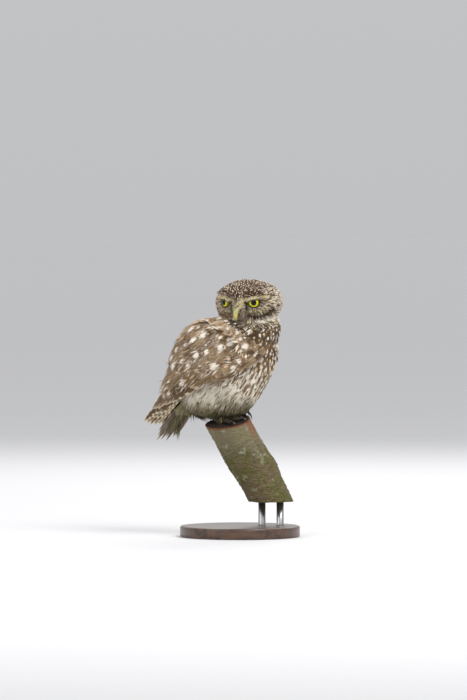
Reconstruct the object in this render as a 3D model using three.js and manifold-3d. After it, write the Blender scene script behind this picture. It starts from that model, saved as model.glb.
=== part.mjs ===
// A little owl (Athene noctua), life size, perched on a cut branch that a plain display stand holds.
// Millimetres, +Z up. The origin is the middle of the stand's underside. Seen along +Y the bird's
// right side shows: its breast is at +X, its tail at -X, and its face looks out towards -Y.
import * as THREE from "three";
import { mergeVertices } from "three/addons/utils/BufferGeometryUtils.js";
import Module from "manifold-3d";

const wasm = await Module();
wasm.setup();

// Driving dimensions
const GAP = 0.3; // clearance between touching pieces
const BODY_YAW = 20; // degrees that the breast is turned towards -Y from +X
const HEAD_YAW = -98; // degrees that the head is turned from the breast, over the right shoulder
const HEAD_PITCH = 4; // degrees that the face looks down
const PERCH_TOP = [-13.2, 0, 126.6]; // middle of the branch's upper cut
const PERCH_RADIUS = { top: 24, low: 22 };
const PERCH_LEAN = [-0.468, -0.13, 0.874]; // along the branch, from its lower to its upper end
const PERCH_CUT = [-0.172, -0.235, 0.956]; // normal of the upper cut
const PERCH_KNOB = { reach: -66, height: 3, length: 13, breadth: 0.5 }; // on the branch's +X side
const BIRD_BACK = 8; // how far the bird sits behind the middle of the cut
const PERCH_BOTTOM = 38; // height of the branch's level lower cut
const BASE_RADIUS = 66;
const BASE_THICKNESS = 12;
const ROD_RADIUS = 4;
const ROD_SPACING = 20;
const HEAD_CENTRE = [25, 0, 258];
const HEAD_HALF = { width: 37.5, front: 29, back: 34, top: 25.5, bottom: 26 };
const EYE_RADIUS = 7.8;
const EYE_PLACE = { forward: 18.2, aside: 15.4, up: 1.6, splay: 25 };
const IRIS_OPENING = { width: 12, height: 9.4, drop: 1.1 };
const VANE_THICKNESS = 0.6;
const BODY_RINGS = 15;
const BODY_SIDES = 24;

const degrees = THREE.MathUtils.degToRad;
const vector = (p) => new THREE.Vector3(p[0], p[1], p[2]);
const curveThrough = (points) => new THREE.CatmullRomCurve3(points.map(vector));
const mix = THREE.MathUtils.lerp;
const hill = (x, width) => Math.exp(-(x * x) / (width * width));

// A seeded random draw from -1 to 1, so that feathers vary the same way each time.
let seed = 7;
function draw() {
  seed = (seed * 16807) % 2147483647;
  return (seed / 2147483647) * 2 - 1;
}

// Materials
const paint = (color, roughness, metalness = 0) =>
  new THREE.MeshStandardMaterial({ color, roughness, metalness });
const plumagePale = paint(0xb5a792, 0.9);
const plumageBrown = paint(0x6e523c, 0.9);
const plumageHead = paint(0x7d6350, 0.9);
const eyeYellow = paint(0xd8c820, 0.1);
const billYellow = paint(0xb9b35a, 0.35);
const cereOlive = paint(0x77745a, 0.5);
const toeSkin = paint(0x8a7c66, 0.7);
const clawDark = paint(0x241e1a, 0.35);
const bark = paint(0x736a52, 0.9);
const standWood = paint(0x4a3527, 0.5);
const rodSteel = paint(0x8c8c8e, 0.3, 1);

// A closed mesh geometry as a solid, its faces turned outwards.
function solidOf(geometry) {
  const bare = geometry.clone();
  bare.deleteAttribute("normal");
  bare.deleteAttribute("uv");
  const merged = mergeVertices(bare, 1e-4);
  const build = (indices) =>
    new wasm.Manifold(
      new wasm.Mesh({
        numProp: 3,
        vertProperties: merged.attributes.position.array,
        triVerts: new Uint32Array(indices),
      }),
    );
  const indices = Array.from(merged.index.array);
  const made = build(indices);
  if (made.volume() > 0) return made;
  for (let i = 0; i < indices.length; i += 3)
    [indices[i + 1], indices[i + 2]] = [indices[i + 2], indices[i + 1]];
  return build(indices);
}

// A closed solid through rings of points, each end closed by a fan to its ring's middle.
function loft(rings) {
  const sides = rings[0].length;
  const positions = rings.flat().flatMap((p) => [p.x, p.y, p.z]);
  const indices = [];
  for (let i = 0; i + 1 < rings.length; i++)
    for (let j = 0; j < sides; j++) {
      const a = i * sides + j;
      const b = i * sides + ((j + 1) % sides);
      indices.push(a, b, b + sides, a, b + sides, a + sides);
    }
  for (const end of [0, rings.length - 1]) {
    const middle = rings[end].reduce((sum, p) => sum.add(p), new THREE.Vector3());
    middle.divideScalar(sides);
    const centre = positions.length / 3;
    positions.push(middle.x, middle.y, middle.z);
    for (let j = 0; j < sides; j++) {
      const a = end * sides + j;
      const b = end * sides + ((j + 1) % sides);
      indices.push(...(end === 0 ? [centre, b, a] : [centre, a, b]));
    }
  }
  const geometry = new THREE.BufferGeometry();
  geometry.setAttribute("position", new THREE.Float32BufferAttribute(positions, 3));
  geometry.setIndex(indices);
  return solidOf(geometry);
}

// The largest closed surface of a solid: loose scraps and sealed hollows go.
function wholePiece(solid) {
  const pieces = solid.decompose();
  return pieces.reduce((a, b) => (b.volume() > a.volume() ? b : a));
}

function meshOf(solid, name, material) {
  const made = wholePiece(solid).getMesh();
  const positions = new Float32Array(made.numVert * 3);
  for (let i = 0; i < made.numVert; i++)
    positions.set(made.vertProperties.subarray(i * made.numProp, i * made.numProp + 3), i * 3);
  const geometry = new THREE.BufferGeometry();
  geometry.setAttribute("position", new THREE.BufferAttribute(positions, 3));
  geometry.setIndex(new THREE.BufferAttribute(made.triVerts, 1));
  geometry.computeVertexNormals();
  const mesh = new THREE.Mesh(geometry, material);
  mesh.name = name;
  return mesh;
}

const moved = (solid, matrix) => solid.transform(matrix.elements);
const union = (solids) => wasm.Manifold.union(solids);

// A round tapering solid along a curve, radii given at even steps along it. Growing it adds to its
// radii and to both of its ends.
function taper(points, shape, sides, { flatten = 1, grow = 0, steps = 6 } = {}) {
  const radii = shape.map((r) => r + grow);
  const ends = points.map(vector);
  const last = ends.length - 1;
  const firstStep = ends[0].clone().sub(ends[1]).normalize();
  const lastStep = ends[last].clone().sub(ends[last - 1]).normalize();
  ends[0].addScaledVector(firstStep, grow);
  ends[last].addScaledVector(lastStep, grow);
  const path = new THREE.CatmullRomCurve3(ends);
  const rings = [];
  const side = new THREE.Vector3(0, 0, 1).cross(path.getTangent(0));
  if (side.length() < 0.2) side.set(0, 1, 0);
  for (let i = 0; i <= steps; i++) {
    const t = i / steps;
    const at = path.getPoint(t);
    const along = path.getTangent(t);
    side.addScaledVector(along, -side.dot(along)).normalize();
    const up = along.clone().cross(side).normalize();
    const place = t * (radii.length - 1);
    const low = Math.min(Math.floor(place), radii.length - 2);
    const radius = mix(radii[low], radii[low + 1], place - low);
    rings.push(
      Array.from({ length: sides }, (_, j) => {
        const angle = (2 * Math.PI * j) / sides;
        return at
          .clone()
          .addScaledVector(side, radius * Math.cos(angle))
          .addScaledVector(up, radius * flatten * Math.sin(angle));
      }),
    );
  }
  return loft(rings);
}

// The bird's own frame: x forward to the breast, y to its left, z up, at the branch's upper cut.
const birdPlace = new THREE.Matrix4()
  .makeRotationZ(degrees(-BODY_YAW))
  .setPosition(PERCH_TOP[0], PERCH_TOP[1] + BIRD_BACK, 0);
const intoBird = birdPlace.clone().invert();

// Torso: paired points of the belly's and the back's middle lines, from vent to neck, with the
// half width between them.
const BELLY_LINE = [
  [-46, 0, 143], [-37, 0, 134], [-20, 0, 130.5], [0, 0, 130], [19, 0, 135.5], [33, 0, 147.5],
  [43.5, 0, 163], [52, 0, 180], [57, 0, 197], [58.5, 0, 212], [57, 0, 227],
];
const BACK_LINE = [
  [-51, 0, 151], [-59, 0, 163], [-61, 0, 177], [-61, 0, 190], [-59, 0, 203], [-54, 0, 216.5],
  [-47, 0, 227.5], [-37, 0, 236], [-25, 0, 241], [-13, 0, 243], [-3, 0, 244],
];
const HALF_WIDTHS = [4, 18, 29, 36, 40, 42.5, 43.5, 43, 41.5, 39, 35].map((w) => [w, 0, 0]);
const bellyLine = curveThrough(BELLY_LINE);
const backLine = curveThrough(BACK_LINE);
const halfWidths = curveThrough(HALF_WIDTHS);

// A point of the torso: t from vent to neck, angle in degrees from the belly's middle line (0) to
// the back's (180), side -1 on the bird's right and 1 on its left.
function torsoAt(t, angle, side) {
  const belly = bellyLine.getPoint(t);
  const back = backLine.getPoint(t);
  const middle = belly.clone().lerp(back, 0.5);
  const reach = belly.sub(middle);
  const turn = degrees(angle);
  return middle
    .addScaledVector(reach, Math.cos(turn))
    .add(new THREE.Vector3(0, side * halfWidths.getPoint(t).x * Math.sin(turn), 0));
}

function torsoOut(t, angle, side) {
  const step = 0.01;
  const along = torsoAt(Math.min(t + step, 1), angle, side).sub(
    torsoAt(Math.max(t - step, 0), angle, side),
  );
  const around = torsoAt(t, angle + 1, side).sub(torsoAt(t, angle - 1, side));
  return along.cross(around).normalize().multiplyScalar(-side);
}

function torsoSolid(grow) {
  const rings = [];
  for (let i = 0; i <= BODY_RINGS; i++) {
    const t = i / BODY_RINGS;
    rings.push(
      Array.from({ length: BODY_SIDES }, (_, j) => {
        const angle = (360 * j) / BODY_SIDES;
        return torsoAt(t, angle, 1).addScaledVector(torsoOut(t, angle, 1), grow);
      }),
    );
  }
  return loft(rings);
}

// Head, in its own frame: x towards the bill, y to its left, z up. Landmarks of the face raise or
// sink a broad, flat-topped round form.
const DISC = { forward: 20, aside: 15.5, up: -1, radius: 17, rim: 1.6 };
function headAt(lift, turn, grow) {
  const x = Math.cos(lift) * Math.cos(turn);
  const y = Math.cos(lift) * Math.sin(turn);
  const z = Math.sin(lift);
  const long = x > 0 ? HEAD_HALF.front : HEAD_HALF.back;
  const high = z > 0 ? HEAD_HALF.top : HEAD_HALF.bottom;
  const power = 2.12;
  const size =
    (Math.abs(x) / long) ** power +
    (Math.abs(y) / HEAD_HALF.width) ** power +
    (Math.abs(z) / high) ** power;
  const point = new THREE.Vector3(x, y, z).multiplyScalar(size ** (-1 / power));
  if (x > 0) {
    const aside = Math.abs(point.y);
    const fromEye = Math.hypot(aside - DISC.aside, point.z - DISC.up);
    const browHeight = 5.5 + 0.3 * aside;
    const front = Math.min(1, x * 2.2);
    let out = 0;
    out += 3.6 * hill(point.z - browHeight - 3, 3.2) * hill(aside - 13, 12);
    out -= 4.2 * hill(fromEye, 9.5);
    out += DISC.rim * hill(fromEye - DISC.radius, 3);
    out += 4.5 * hill(aside, 5) * hill(point.z + 3, 9);
    out += 1.8 * hill(aside - 8, 7) * hill(point.z + 14, 5);
    point.addScaledVector(new THREE.Vector3(1, 0, 0), out * front);
  }
  return point.addScaledVector(new THREE.Vector3(x, y, z), grow);
}

function headForm(grow) {
  const rows = 17;
  const columns = 32;
  const rings = [];
  for (let i = 0; i < rows; i++) {
    const lift = degrees(mix(-84, 84, i / (rows - 1)));
    rings.push(
      Array.from({ length: columns }, (_, j) =>
        headAt(lift, (2 * Math.PI * (j + 0.5)) / columns, grow),
      ),
    );
  }
  return loft(rings);
}

// A sphere's solid with an even net, and the frame that looks along an eye.
function ball(radius, place) {
  const geometry = new THREE.SphereGeometry(radius, 16, 8);
  return solidOf(geometry).translate(place.x, place.y, place.z);
}
const eyePlace = (side) =>
  new THREE.Vector3(EYE_PLACE.forward, side * EYE_PLACE.aside, EYE_PLACE.up);
function eyeFrame(side) {
  return new THREE.Matrix4()
    .makeRotationZ(degrees(side * EYE_PLACE.splay))
    .setPosition(eyePlace(side));
}

// The opening between the lids: an oval rod along the eye's line of sight.
function lidOpening(side) {
  const rod = new THREE.CylinderGeometry(0.5, 0.5, 16, 20);
  rod.rotateZ(degrees(90));
  rod.scale(1, IRIS_OPENING.width, IRIS_OPENING.height);
  rod.translate(8, 0, -IRIS_OPENING.drop);
  return moved(solidOf(rod), eyeFrame(side));
}

// Bill, in the head's frame: the arched upper half with its hooked point, the lower half under it,
// and the swollen cere with two nostrils at its root.
const BILL_LINE = [
  [22, 0, -6], [29.4, 0, -5.8], [32.8, 0, -9.2], [33.6, 0, -13.6], [31.9, 0, -18.6],
];
const BILL_RADII = [4.4, 3.7, 2.9, 2.1, 0.35];
const LOWER_LINE = [
  [22, 0, -11.4], [25.5, 0, -11.9], [28, 0, -13.3], [29.4, 0, -15.2],
];
const LOWER_RADII = [3.2, 2.7, 1.9, 0.6];
const CERE_LINE = [
  [20, 0, -2.6], [26.5, 0, -3.2], [30.2, 0, -5.6],
];
const CERE_RADII = [3.2, 4, 3];
const upperForm = (grow) => taper(BILL_LINE, BILL_RADII, 12, { grow });
const lowerForm = (grow) => taper(LOWER_LINE, LOWER_RADII, 10, { grow });
const cereForm = (grow) => taper(CERE_LINE, CERE_RADII, 12, { grow });

function nostrils() {
  const pits = [-1, 1].map((side) => {
    const pit = new THREE.CylinderGeometry(0.75, 0.75, 5, 8);
    return solidOf(pit)
      .rotate([90, 0, 0])
      .translate(28.6, side * 4.3, -3.2);
  });
  return union(pits);
}

const sockets = (grow) => union([-1, 1].map((side) => ball(EYE_RADIUS + grow, eyePlace(side))));
const openings = union([lidOpening(-1), lidOpening(1)]);
const headSolid = headForm(0)
  .add(sockets(1.3))
  .subtract(sockets(GAP))
  .subtract(openings)
  .subtract(union([upperForm(GAP), lowerForm(GAP), cereForm(GAP)]));
const cereSolid = cereForm(0).subtract(nostrils()).subtract(sockets(1.3 + GAP));
const upperSolid = upperForm(0).subtract(cereForm(GAP)).subtract(sockets(1.3 + GAP));
const lowerSolid = lowerForm(0)
  .subtract(upperForm(GAP))
  .subtract(cereForm(GAP))
  .subtract(sockets(1.3 + GAP));

const headPlace = new THREE.Matrix4()
  .makeRotationZ(degrees(HEAD_YAW))
  .multiply(new THREE.Matrix4().makeRotationY(degrees(HEAD_PITCH)))
  .setPosition(vector(HEAD_CENTRE));
const grownHead = moved(
  union([headForm(GAP), sockets(1.3 + GAP), upperForm(GAP), lowerForm(GAP), cereForm(GAP)]),
  headPlace,
);

// Neck: a broad ruff from the torso's top ring up round the back and the sides of the head, and
// low under the face.
function neckForm(grow) {
  const rings = [];
  const rows = 6;
  const top = vector(HEAD_CENTRE);
  const face = new THREE.Vector2(1, 0).rotateAround(new THREE.Vector2(), degrees(HEAD_YAW));
  for (let i = 0; i <= rows; i++) {
    const share = i / rows;
    rings.push(
      Array.from({ length: BODY_SIDES }, (_, j) => {
        const angle = (360 * j) / BODY_SIDES;
        const root = torsoAt(0.93, angle, 1);
        const turn = degrees(angle);
        const under = Math.max(0, Math.cos(turn) * face.x + Math.sin(turn) * face.y);
        const radius = 33 - 8 * under;
        const crown = new THREE.Vector3(
          top.x + radius * Math.cos(turn),
          radius * Math.sin(turn),
          top.z - 9 - 9 * under,
        );
        const point = root.lerp(crown, share);
        const axis = new THREE.Vector3(mix(24, top.x, share), 0, point.z);
        const out = point.clone().sub(axis).normalize();
        return point.addScaledVector(out, grow + 2.5 * Math.sin(Math.PI * share));
      }),
    );
  }
  return loft(rings);
}

const grownTorso = torsoSolid(GAP);
const neck = neckForm(0).subtract(grownTorso).subtract(grownHead);
const grownNeck = neckForm(GAP);

// Wing: a sheet laid over the flank, as three lines from the shoulder to the wing's point: along
// the back, down the middle, and along the lower edge.
function wingSheet(side) {
  const on = (t, angle, lift) =>
    torsoAt(t, angle, side).addScaledVector(torsoOut(t, angle, side), lift);
  const at = (x, y, z) => new THREE.Vector3(x, side * y, z);
  const upper = [
    on(0.9, 150, 1.6), on(0.72, 156, 1.8), on(0.53, 158, 2), on(0.34, 158, 2.8),
    at(-66, 12, 169), at(-77, 10, 152), at(-88, 9, 138), at(-97, 8.5, 127),
  ];
  const middle = [
    on(0.92, 94, 1.5), on(0.76, 98, 2.5), on(0.58, 104, 3.5), on(0.4, 113, 4.5),
    at(-55, 26, 163), at(-68, 20, 148), at(-80, 15.5, 134), at(-90, 12, 121),
  ];
  const lower = [
    on(0.86, 36, 1), on(0.75, 48, 2.5), on(0.62, 65, 3.5), on(0.47, 82, 4.5),
    at(-38, 36, 159), at(-55, 28, 147), at(-69, 21, 132), at(-81, 15, 115),
  ];
  const lines = [upper, middle, lower].map((points) => new THREE.CatmullRomCurve3(points));
  const point = (u, v) => {
    const [a, b, c] = lines.map((line) => line.getPoint(THREE.MathUtils.clamp(u, 0, 1)));
    return new THREE.Vector3()
      .addScaledVector(a, 2 * (v - 0.5) * (v - 1))
      .addScaledVector(b, -4 * v * (v - 1))
      .addScaledVector(c, 2 * v * (v - 0.5));
  };
  const out = (u, v) => {
    const step = 0.02;
    const along = point(Math.min(u + step, 1), v).sub(point(Math.max(u - step, 0), v));
    const across = point(u, v + step).sub(point(u, v - step));
    return along.cross(across).normalize().multiplyScalar(-side);
  };
  return { point, out };
}

const CORE_OUTER = 0.12; // share of the core's thickness that lies outside its sheet

// The wing's core: a pad that is thickest over the flank and thins out towards the wing's point.
function wingCore(sheet) {
  const rows = 8;
  const half = 6;
  const rings = [];
  for (let i = 0; i <= rows; i++) {
    const u = mix(0.03, 0.8, i / rows);
    const thick = 3.4 * Math.sqrt(Math.max(0.02, Math.sin(Math.PI * mix(0.1, 0.97, i / rows))));
    const ring = [];
    for (let j = 0; j < 2 * half; j++) {
      const angle = (Math.PI * j) / half;
      const v = 0.5 - 0.46 * Math.cos(angle);
      const lift = thick * Math.sin(angle) * (Math.sin(angle) > 0 ? CORE_OUTER : 1.1);
      ring.push(sheet.point(u, v).addScaledVector(sheet.out(u, v), lift));
    }
    rings.push(ring);
  }
  return loft(rings);
}

// One feather's vane on a sheet, from root to tip in the sheet's own (u, v), with its greatest
// width in millimetres, its lift at root and tip, and its tilt about its own shaft.
const VANE_STEPS = [0, 0.4, 0.76, 0.94, 1];
const VANE_SHAPE = [0.62, 1, 0.96, 0.62, 0.2]; // share of the greatest width at each step
function vane(sheet, { root, tip, width, lift, tilt }) {
  const rings = VANE_STEPS.map((s, i) => {
    const u = mix(root[0], tip[0], s);
    const v = mix(root[1], tip[1], s);
    const slope = (tip[1] - root[1]) / (tip[0] - root[0]);
    const at = sheet.point(u, v);
    const ahead = sheet.point(u - 0.01, v - 0.01 * slope);
    const out = sheet.out(u, v);
    const along = at.clone().sub(ahead).normalize();
    const across = out.clone().cross(along).normalize();
    const half = 0.5 * width * VANE_SHAPE[i];
    const rise = mix(lift[0], lift[1], s);
    const corner = (q, face) =>
      at
        .clone()
        .addScaledVector(across, q * half)
        .addScaledVector(out, rise + q * half * tilt + face * 0.5 * VANE_THICKNESS);
    return [corner(-1, 1), corner(1, 1), corner(1, -1), corner(-1, -1)];
  });
  return loftOpen(rings);
}

// A loft of four-cornered rings whose two faces are split alike, closed flat at both ends.
function loftOpen(rings) {
  const positions = rings.flat().flatMap((p) => [p.x, p.y, p.z]);
  const indices = [];
  const quad = (a, b, c, d) => indices.push(a, b, c, a, c, d);
  for (let i = 0; i + 1 < rings.length; i++) {
    const a = 4 * i;
    const b = a + 4;
    quad(a, a + 1, b + 1, b);
    indices.push(a + 3, b + 3, b + 2, a + 3, b + 2, a + 2);
    quad(a + 1, a + 2, b + 2, b + 1);
    quad(a + 3, a, b, b + 3);
  }
  const end = 4 * (rings.length - 1);
  quad(0, 3, 2, 1);
  quad(end, end + 1, end + 2, end + 3);
  const geometry = new THREE.BufferGeometry();
  geometry.setAttribute("position", new THREE.Float32BufferAttribute(positions, 3));
  geometry.setIndex(indices);
  return solidOf(geometry);
}

// The wing's tiers of feathers, from the deepest to the topmost: each tier runs from a first
// feather to a last one, and every feather is placed between the two.
const WING_TIERS = [
  { // primaries
    count: 6, width: 11, lift: [-1.6, 0], stack: -0.9, tilt: -0.12,
    first: { root: [0.6, 0.42], tip: [0.98, 0.12] }, last: { root: [0.52, 0.9], tip: [0.94, 0.95] },
  },
  { // secondaries
    count: 6, width: 13, lift: [-0.4, 2.8], stack: 0, tilt: 0.26,
    first: { root: [0.42, 0.28], tip: [0.84, 0.14] }, last: { root: [0.38, 0.92], tip: [0.68, 0.95] },
  },
  { // greater coverts
    count: 6, width: 13, lift: [-0.4, 3.4], stack: 0, tilt: 0.2,
    first: { root: [0.26, 0.34], tip: [0.52, 0.28] }, last: { root: [0.2, 0.9], tip: [0.44, 0.96] },
  },
  { // median coverts
    count: 6, width: 14, lift: [-0.4, 3.4], stack: 0, tilt: 0.2,
    first: { root: [0.09, 0.36], tip: [0.32, 0.33] }, last: { root: [0.04, 0.82], tip: [0.25, 0.92] },
  },
  { // hind scapulars
    count: 3, width: 14, lift: [-0.2, 2.8], stack: 0, tilt: 0.26,
    first: { root: [0.38, 0.05], tip: [0.66, 0.06] }, last: { root: [0.36, 0.28], tip: [0.6, 0.24] },
  },
  { // fore scapulars
    count: 3, width: 14, lift: [-0.2, 2.4], stack: 0, tilt: 0.16,
    first: { root: [0.12, 0.1], tip: [0.42, 0.08] }, last: { root: [0.08, 0.31], tip: [0.38, 0.3] },
  },
];

function wingSolid(side) {
  const sheet = wingSheet(side);
  const pieces = [wingCore(sheet)];
  for (const tier of WING_TIERS)
    for (let k = 0; k < tier.count; k++) {
      const share = k / (tier.count - 1);
      const between = (a, b) => [mix(a[0], b[0], share), mix(a[1], b[1], share)];
      const tip = between(tier.first.tip, tier.last.tip);
      pieces.push(
        vane(sheet, {
          root: between(tier.first.root, tier.last.root),
          tip: [tip[0] + 0.008 * draw(), tip[1]],
          width: tier.width * (1 + 0.04 * draw()),
          lift: [tier.lift[0], tier.lift[1] + tier.stack * k],
          tilt: tier.tilt * side,
        }),
      );
    }
  return union(pieces).subtract(grownTorso).subtract(grownNeck).subtract(grownHead);
}

// Tail: a fan of feathers below the wings' points, on a wedge that grows from the vent.
const TAIL_ROOT = [-43, 0, 151];
const TAIL_DROP = 52; // degrees below level
const TAIL_ROLL = 15; // degrees that the tail turns its underside to the bird's right
const TAIL_LENGTH = 57;
const TAIL_COUNT = 12;
const TAIL_SPREAD = 13; // degrees from the middle to the outermost feather
const tailPlace = new THREE.Matrix4()
  .makeRotationY(degrees(180 - TAIL_DROP))
  .multiply(new THREE.Matrix4().makeRotationX(degrees(TAIL_ROLL)))
  .setPosition(vector(TAIL_ROOT));

// In the tail's frame x runs down the tail, y across it and z towards its underside.
function tailSheet(share) {
  const turn = degrees(TAIL_SPREAD * share);
  return {
    point: (u, v) => {
      const reach = u * TAIL_LENGTH;
      const aside = (v - 0.5) * 10;
      return new THREE.Vector3(
        reach * Math.cos(turn) - aside * Math.sin(turn),
        9 * share + reach * Math.sin(turn) + aside * Math.cos(turn),
        0,
      );
    },
    out: () => new THREE.Vector3(0, 0, 1),
  };
}

function tailSolid() {
  const core = taper(
    [[-12, 0, 1], [4, 0, 1], [22, 0, 1.5], [40, 0, 1.4]],
    [10, 13, 11, 5],
    16,
    { flatten: 0.45 },
  );
  const pieces = [core];
  for (let k = 0; k < TAIL_COUNT; k++) {
    const share = (2 * k) / (TAIL_COUNT - 1) - 1;
    const length = 1 - 0.24 * share * share + 0.01 * draw();
    pieces.push(
      vane(tailSheet(share), {
        root: [0.1, 0.5], tip: [length, 0.5], width: 13,
        lift: [2.4 * Math.abs(share) - 1, 4 * Math.abs(share) - 1.6],
        tilt: share < 0 ? -0.14 : 0.14,
      }),
    );
  }
  return moved(union(pieces), tailPlace).subtract(grownTorso);
}

// Branch, in the world's frame: a slightly wavy round stem between its two cuts.
const perchAlong = vector(PERCH_LEAN).normalize();
const perchLength = (PERCH_TOP[2] - PERCH_BOTTOM) / perchAlong.z;
function perchForm(grow) {
  const sides = 24;
  const rows = 11;
  const rings = [];
  const over = 14;
  const across = new THREE.Vector3(0, 1, 0).cross(perchAlong).normalize();
  const ahead = perchAlong.clone().cross(across);
  for (let i = 0; i <= rows; i++) {
    const reach = mix(-perchLength - over, over, i / rows);
    rings.push(
      Array.from({ length: sides }, (_, j) => {
        const angle = (2 * Math.PI * j) / sides;
        const wave = 0.6 * Math.sin(3 * angle + reach * 0.06) + 0.5 * Math.sin(reach * 0.11);
        const share = THREE.MathUtils.clamp(-reach / perchLength, 0, 1);
        const knob =
          PERCH_KNOB.height *
          hill(reach - PERCH_KNOB.reach, PERCH_KNOB.length) *
          hill(Math.sin(0.5 * angle), PERCH_KNOB.breadth * 0.5);
        const radius = mix(PERCH_RADIUS.top, PERCH_RADIUS.low, share) + wave + knob + grow;
        return vector(PERCH_TOP)
          .addScaledVector(perchAlong, reach)
          .addScaledVector(across, radius * Math.cos(angle))
          .addScaledVector(ahead, radius * Math.sin(angle));
      }),
    );
  }
  const cut = vector(PERCH_CUT).normalize();
  const cutAt = cut.dot(vector(PERCH_TOP)) + grow;
  return loft(rings)
    .trimByPlane([-cut.x, -cut.y, -cut.z], -cutAt)
    .trimByPlane([0, 0, 1], PERCH_BOTTOM - grow);
}
const perch = perchForm(0);
const grownPerch = moved(perchForm(GAP), intoBird);

// The height of the branch's cut face under a place in the bird's frame.
const cutNormal = vector(PERCH_CUT).transformDirection(intoBird);
const cutMiddle = vector(PERCH_TOP).applyMatrix4(intoBird);
const faceHeight = (x, y) =>
  cutMiddle.z - (cutNormal.x * (x - cutMiddle.x) + cutNormal.y * (y - cutMiddle.y)) / cutNormal.z;
const faceReach = cutNormal.dot(cutMiddle);

// Legs and feet. Each foot has three toes forward and one back, gripping the cut's edge.
const FEET = [
  { name: "right", place: [-3, -9.5], turn: -4 },
  { name: "left", place: [-4, 9], turn: 6 },
];
const TOES = [
  { name: "inner", turn: -17, reach: 17, claw: 9.5 },
  { name: "middle", turn: -2, reach: 20, claw: 10.5 },
  { name: "outer", turn: 34, reach: 18, claw: 9.5 },
  { name: "hind", turn: 176, reach: 7, claw: 7.5 },
];
const TOE_RADII = [3.0, 2.6, 2.6, 2.0];
const TOE_NET = { sides: 6, steps: 5 };
const FOOT_HEIGHT = 5; // of the foot's flat upper side above the cut face

// The feathered leg: wide where it leaves the belly, narrow at the foot.
function legForm(foot, grow) {
  const [x, y] = foot.place;
  const ground = faceHeight(x, y);
  return taper(
    [[x - 4, y * 1.3, 156], [x - 2, y * 1.2, 146], [x, y, 137], [x, y, ground + 3]],
    [12, 11, 7.5, 5],
    14,
    { grow },
  ).trimByPlane(cutNormal.toArray(), faceReach + FOOT_HEIGHT + GAP - grow);
}

// A toe's middle line: from the foot's middle out to its last joint, resting on the face and
// bending down past the branch's edge.
function toeLine(foot, toe, outward) {
  const [x, y] = foot.place;
  const turn = degrees(foot.turn + toe.turn * outward);
  const at = (reach, lift) => {
    const px = x + reach * Math.cos(turn);
    const py = y + reach * Math.sin(turn);
    return [px, py, faceHeight(px, py) + lift];
  };
  return [at(0, 3.4), at(toe.reach * 0.36, 3.9), at(toe.reach * 0.72, 3.3), at(toe.reach, 2.7)];
}

// A claw's middle line: arched, flat enough to rest on the face, and hooked further down where it
// reaches past the branch's edge.
function clawLine(foot, toe, outward) {
  const line = toeLine(foot, toe, outward).map(vector);
  const end = line[3];
  const away = end.clone().sub(line[2]);
  away.z = 0;
  away.normalize();
  const at = (reach, drop) =>
    end
      .clone()
      .addScaledVector(away, reach)
      .add(new THREE.Vector3(0, 0, -drop))
      .toArray();
  const l = toe.claw;
  const tip = end.clone().addScaledVector(away, 0.8 * l);
  const fromMiddle = Math.hypot(tip.x - cutMiddle.x, tip.y - cutMiddle.y);
  const past = THREE.MathUtils.smoothstep(fromMiddle, PERCH_RADIUS.top - 1, PERCH_RADIUS.top + 4);
  const drop = mix(0.24, 0.68, past) * l;
  return [
    at(0.2, 0), at(0.34 * l, -0.12 * l), at(0.66 * l, 0.02 * l + 0.24 * past * l),
    at(mix(0.86, 0.78, past) * l, drop),
  ];
}

function footForm(foot, outward, grow) {
  const [x, y] = foot.place;
  const pad = ball(4.6 + grow, new THREE.Vector3(x, y, faceHeight(x, y) + 3.2));
  const down = [-cutNormal.x, -cutNormal.y, -cutNormal.z];
  const toes = TOES.map((toe) =>
    taper(toeLine(foot, toe, outward), TOE_RADII, TOE_NET.sides, { grow, steps: TOE_NET.steps }),
  );
  return union([pad, ...toes]).trimByPlane(down, -faceReach - FOOT_HEIGHT - grow);
}

const CLAW_RADII = [1.35, 1.3, 0.95, 0.2];
const clawForm = (foot, toe, outward, grow) =>
  taper(clawLine(foot, toe, outward), CLAW_RADII, 6, { grow, steps: 4 });

const outwardOf = (foot) => (foot.name === "left" ? 1 : -1);
const grownLegs = union(FEET.map((foot) => legForm(foot, GAP)));
const torso = torsoSolid(0)
  .subtract(grownHead)
  .subtract(grownLegs)
  .trimByPlane(cutNormal.toArray(), faceReach + FOOT_HEIGHT + 2 * GAP);

// Assembly
const part = new THREE.Group();

const bird = new THREE.Group();
birdPlace.decompose(bird.position, bird.quaternion, bird.scale);
part.add(bird);
bird.add(meshOf(torso, "torso", plumagePale));
bird.add(meshOf(neck, "neck", plumageHead));
bird.add(meshOf(wingSolid(-1), "wing_right", plumageBrown));
bird.add(meshOf(wingSolid(1), "wing_left", plumageBrown));
bird.add(meshOf(tailSolid(), "tail", plumageBrown));

const head = new THREE.Group();
headPlace.decompose(head.position, head.quaternion, head.scale);
bird.add(head);
head.add(meshOf(headSolid, "head", plumageHead));
head.add(meshOf(cereSolid, "cere", cereOlive));
head.add(meshOf(upperSolid, "bill_upper", billYellow));
head.add(meshOf(lowerSolid, "bill_lower", billYellow));
for (const [side, name] of [[-1, "eye_right"], [1, "eye_left"]])
  head.add(meshOf(ball(EYE_RADIUS, eyePlace(side)), name, eyeYellow));

for (const foot of FEET) {
  const outward = outwardOf(foot);
  const footSolid = footForm(foot, outward, 0).subtract(grownPerch);
  bird.add(meshOf(legForm(foot, 0), `leg_${foot.name}`, plumagePale));
  bird.add(meshOf(footSolid, `foot_${foot.name}`, toeSkin));
  for (const toe of TOES) {
    const claw = clawForm(foot, toe, outward, 0)
      .subtract(footForm(foot, outward, GAP))
      .subtract(grownPerch);
    bird.add(meshOf(claw, `claw_${foot.name}_${toe.name}`, clawDark));
  }
}

part.add(meshOf(perch, "perch", bark));

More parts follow.
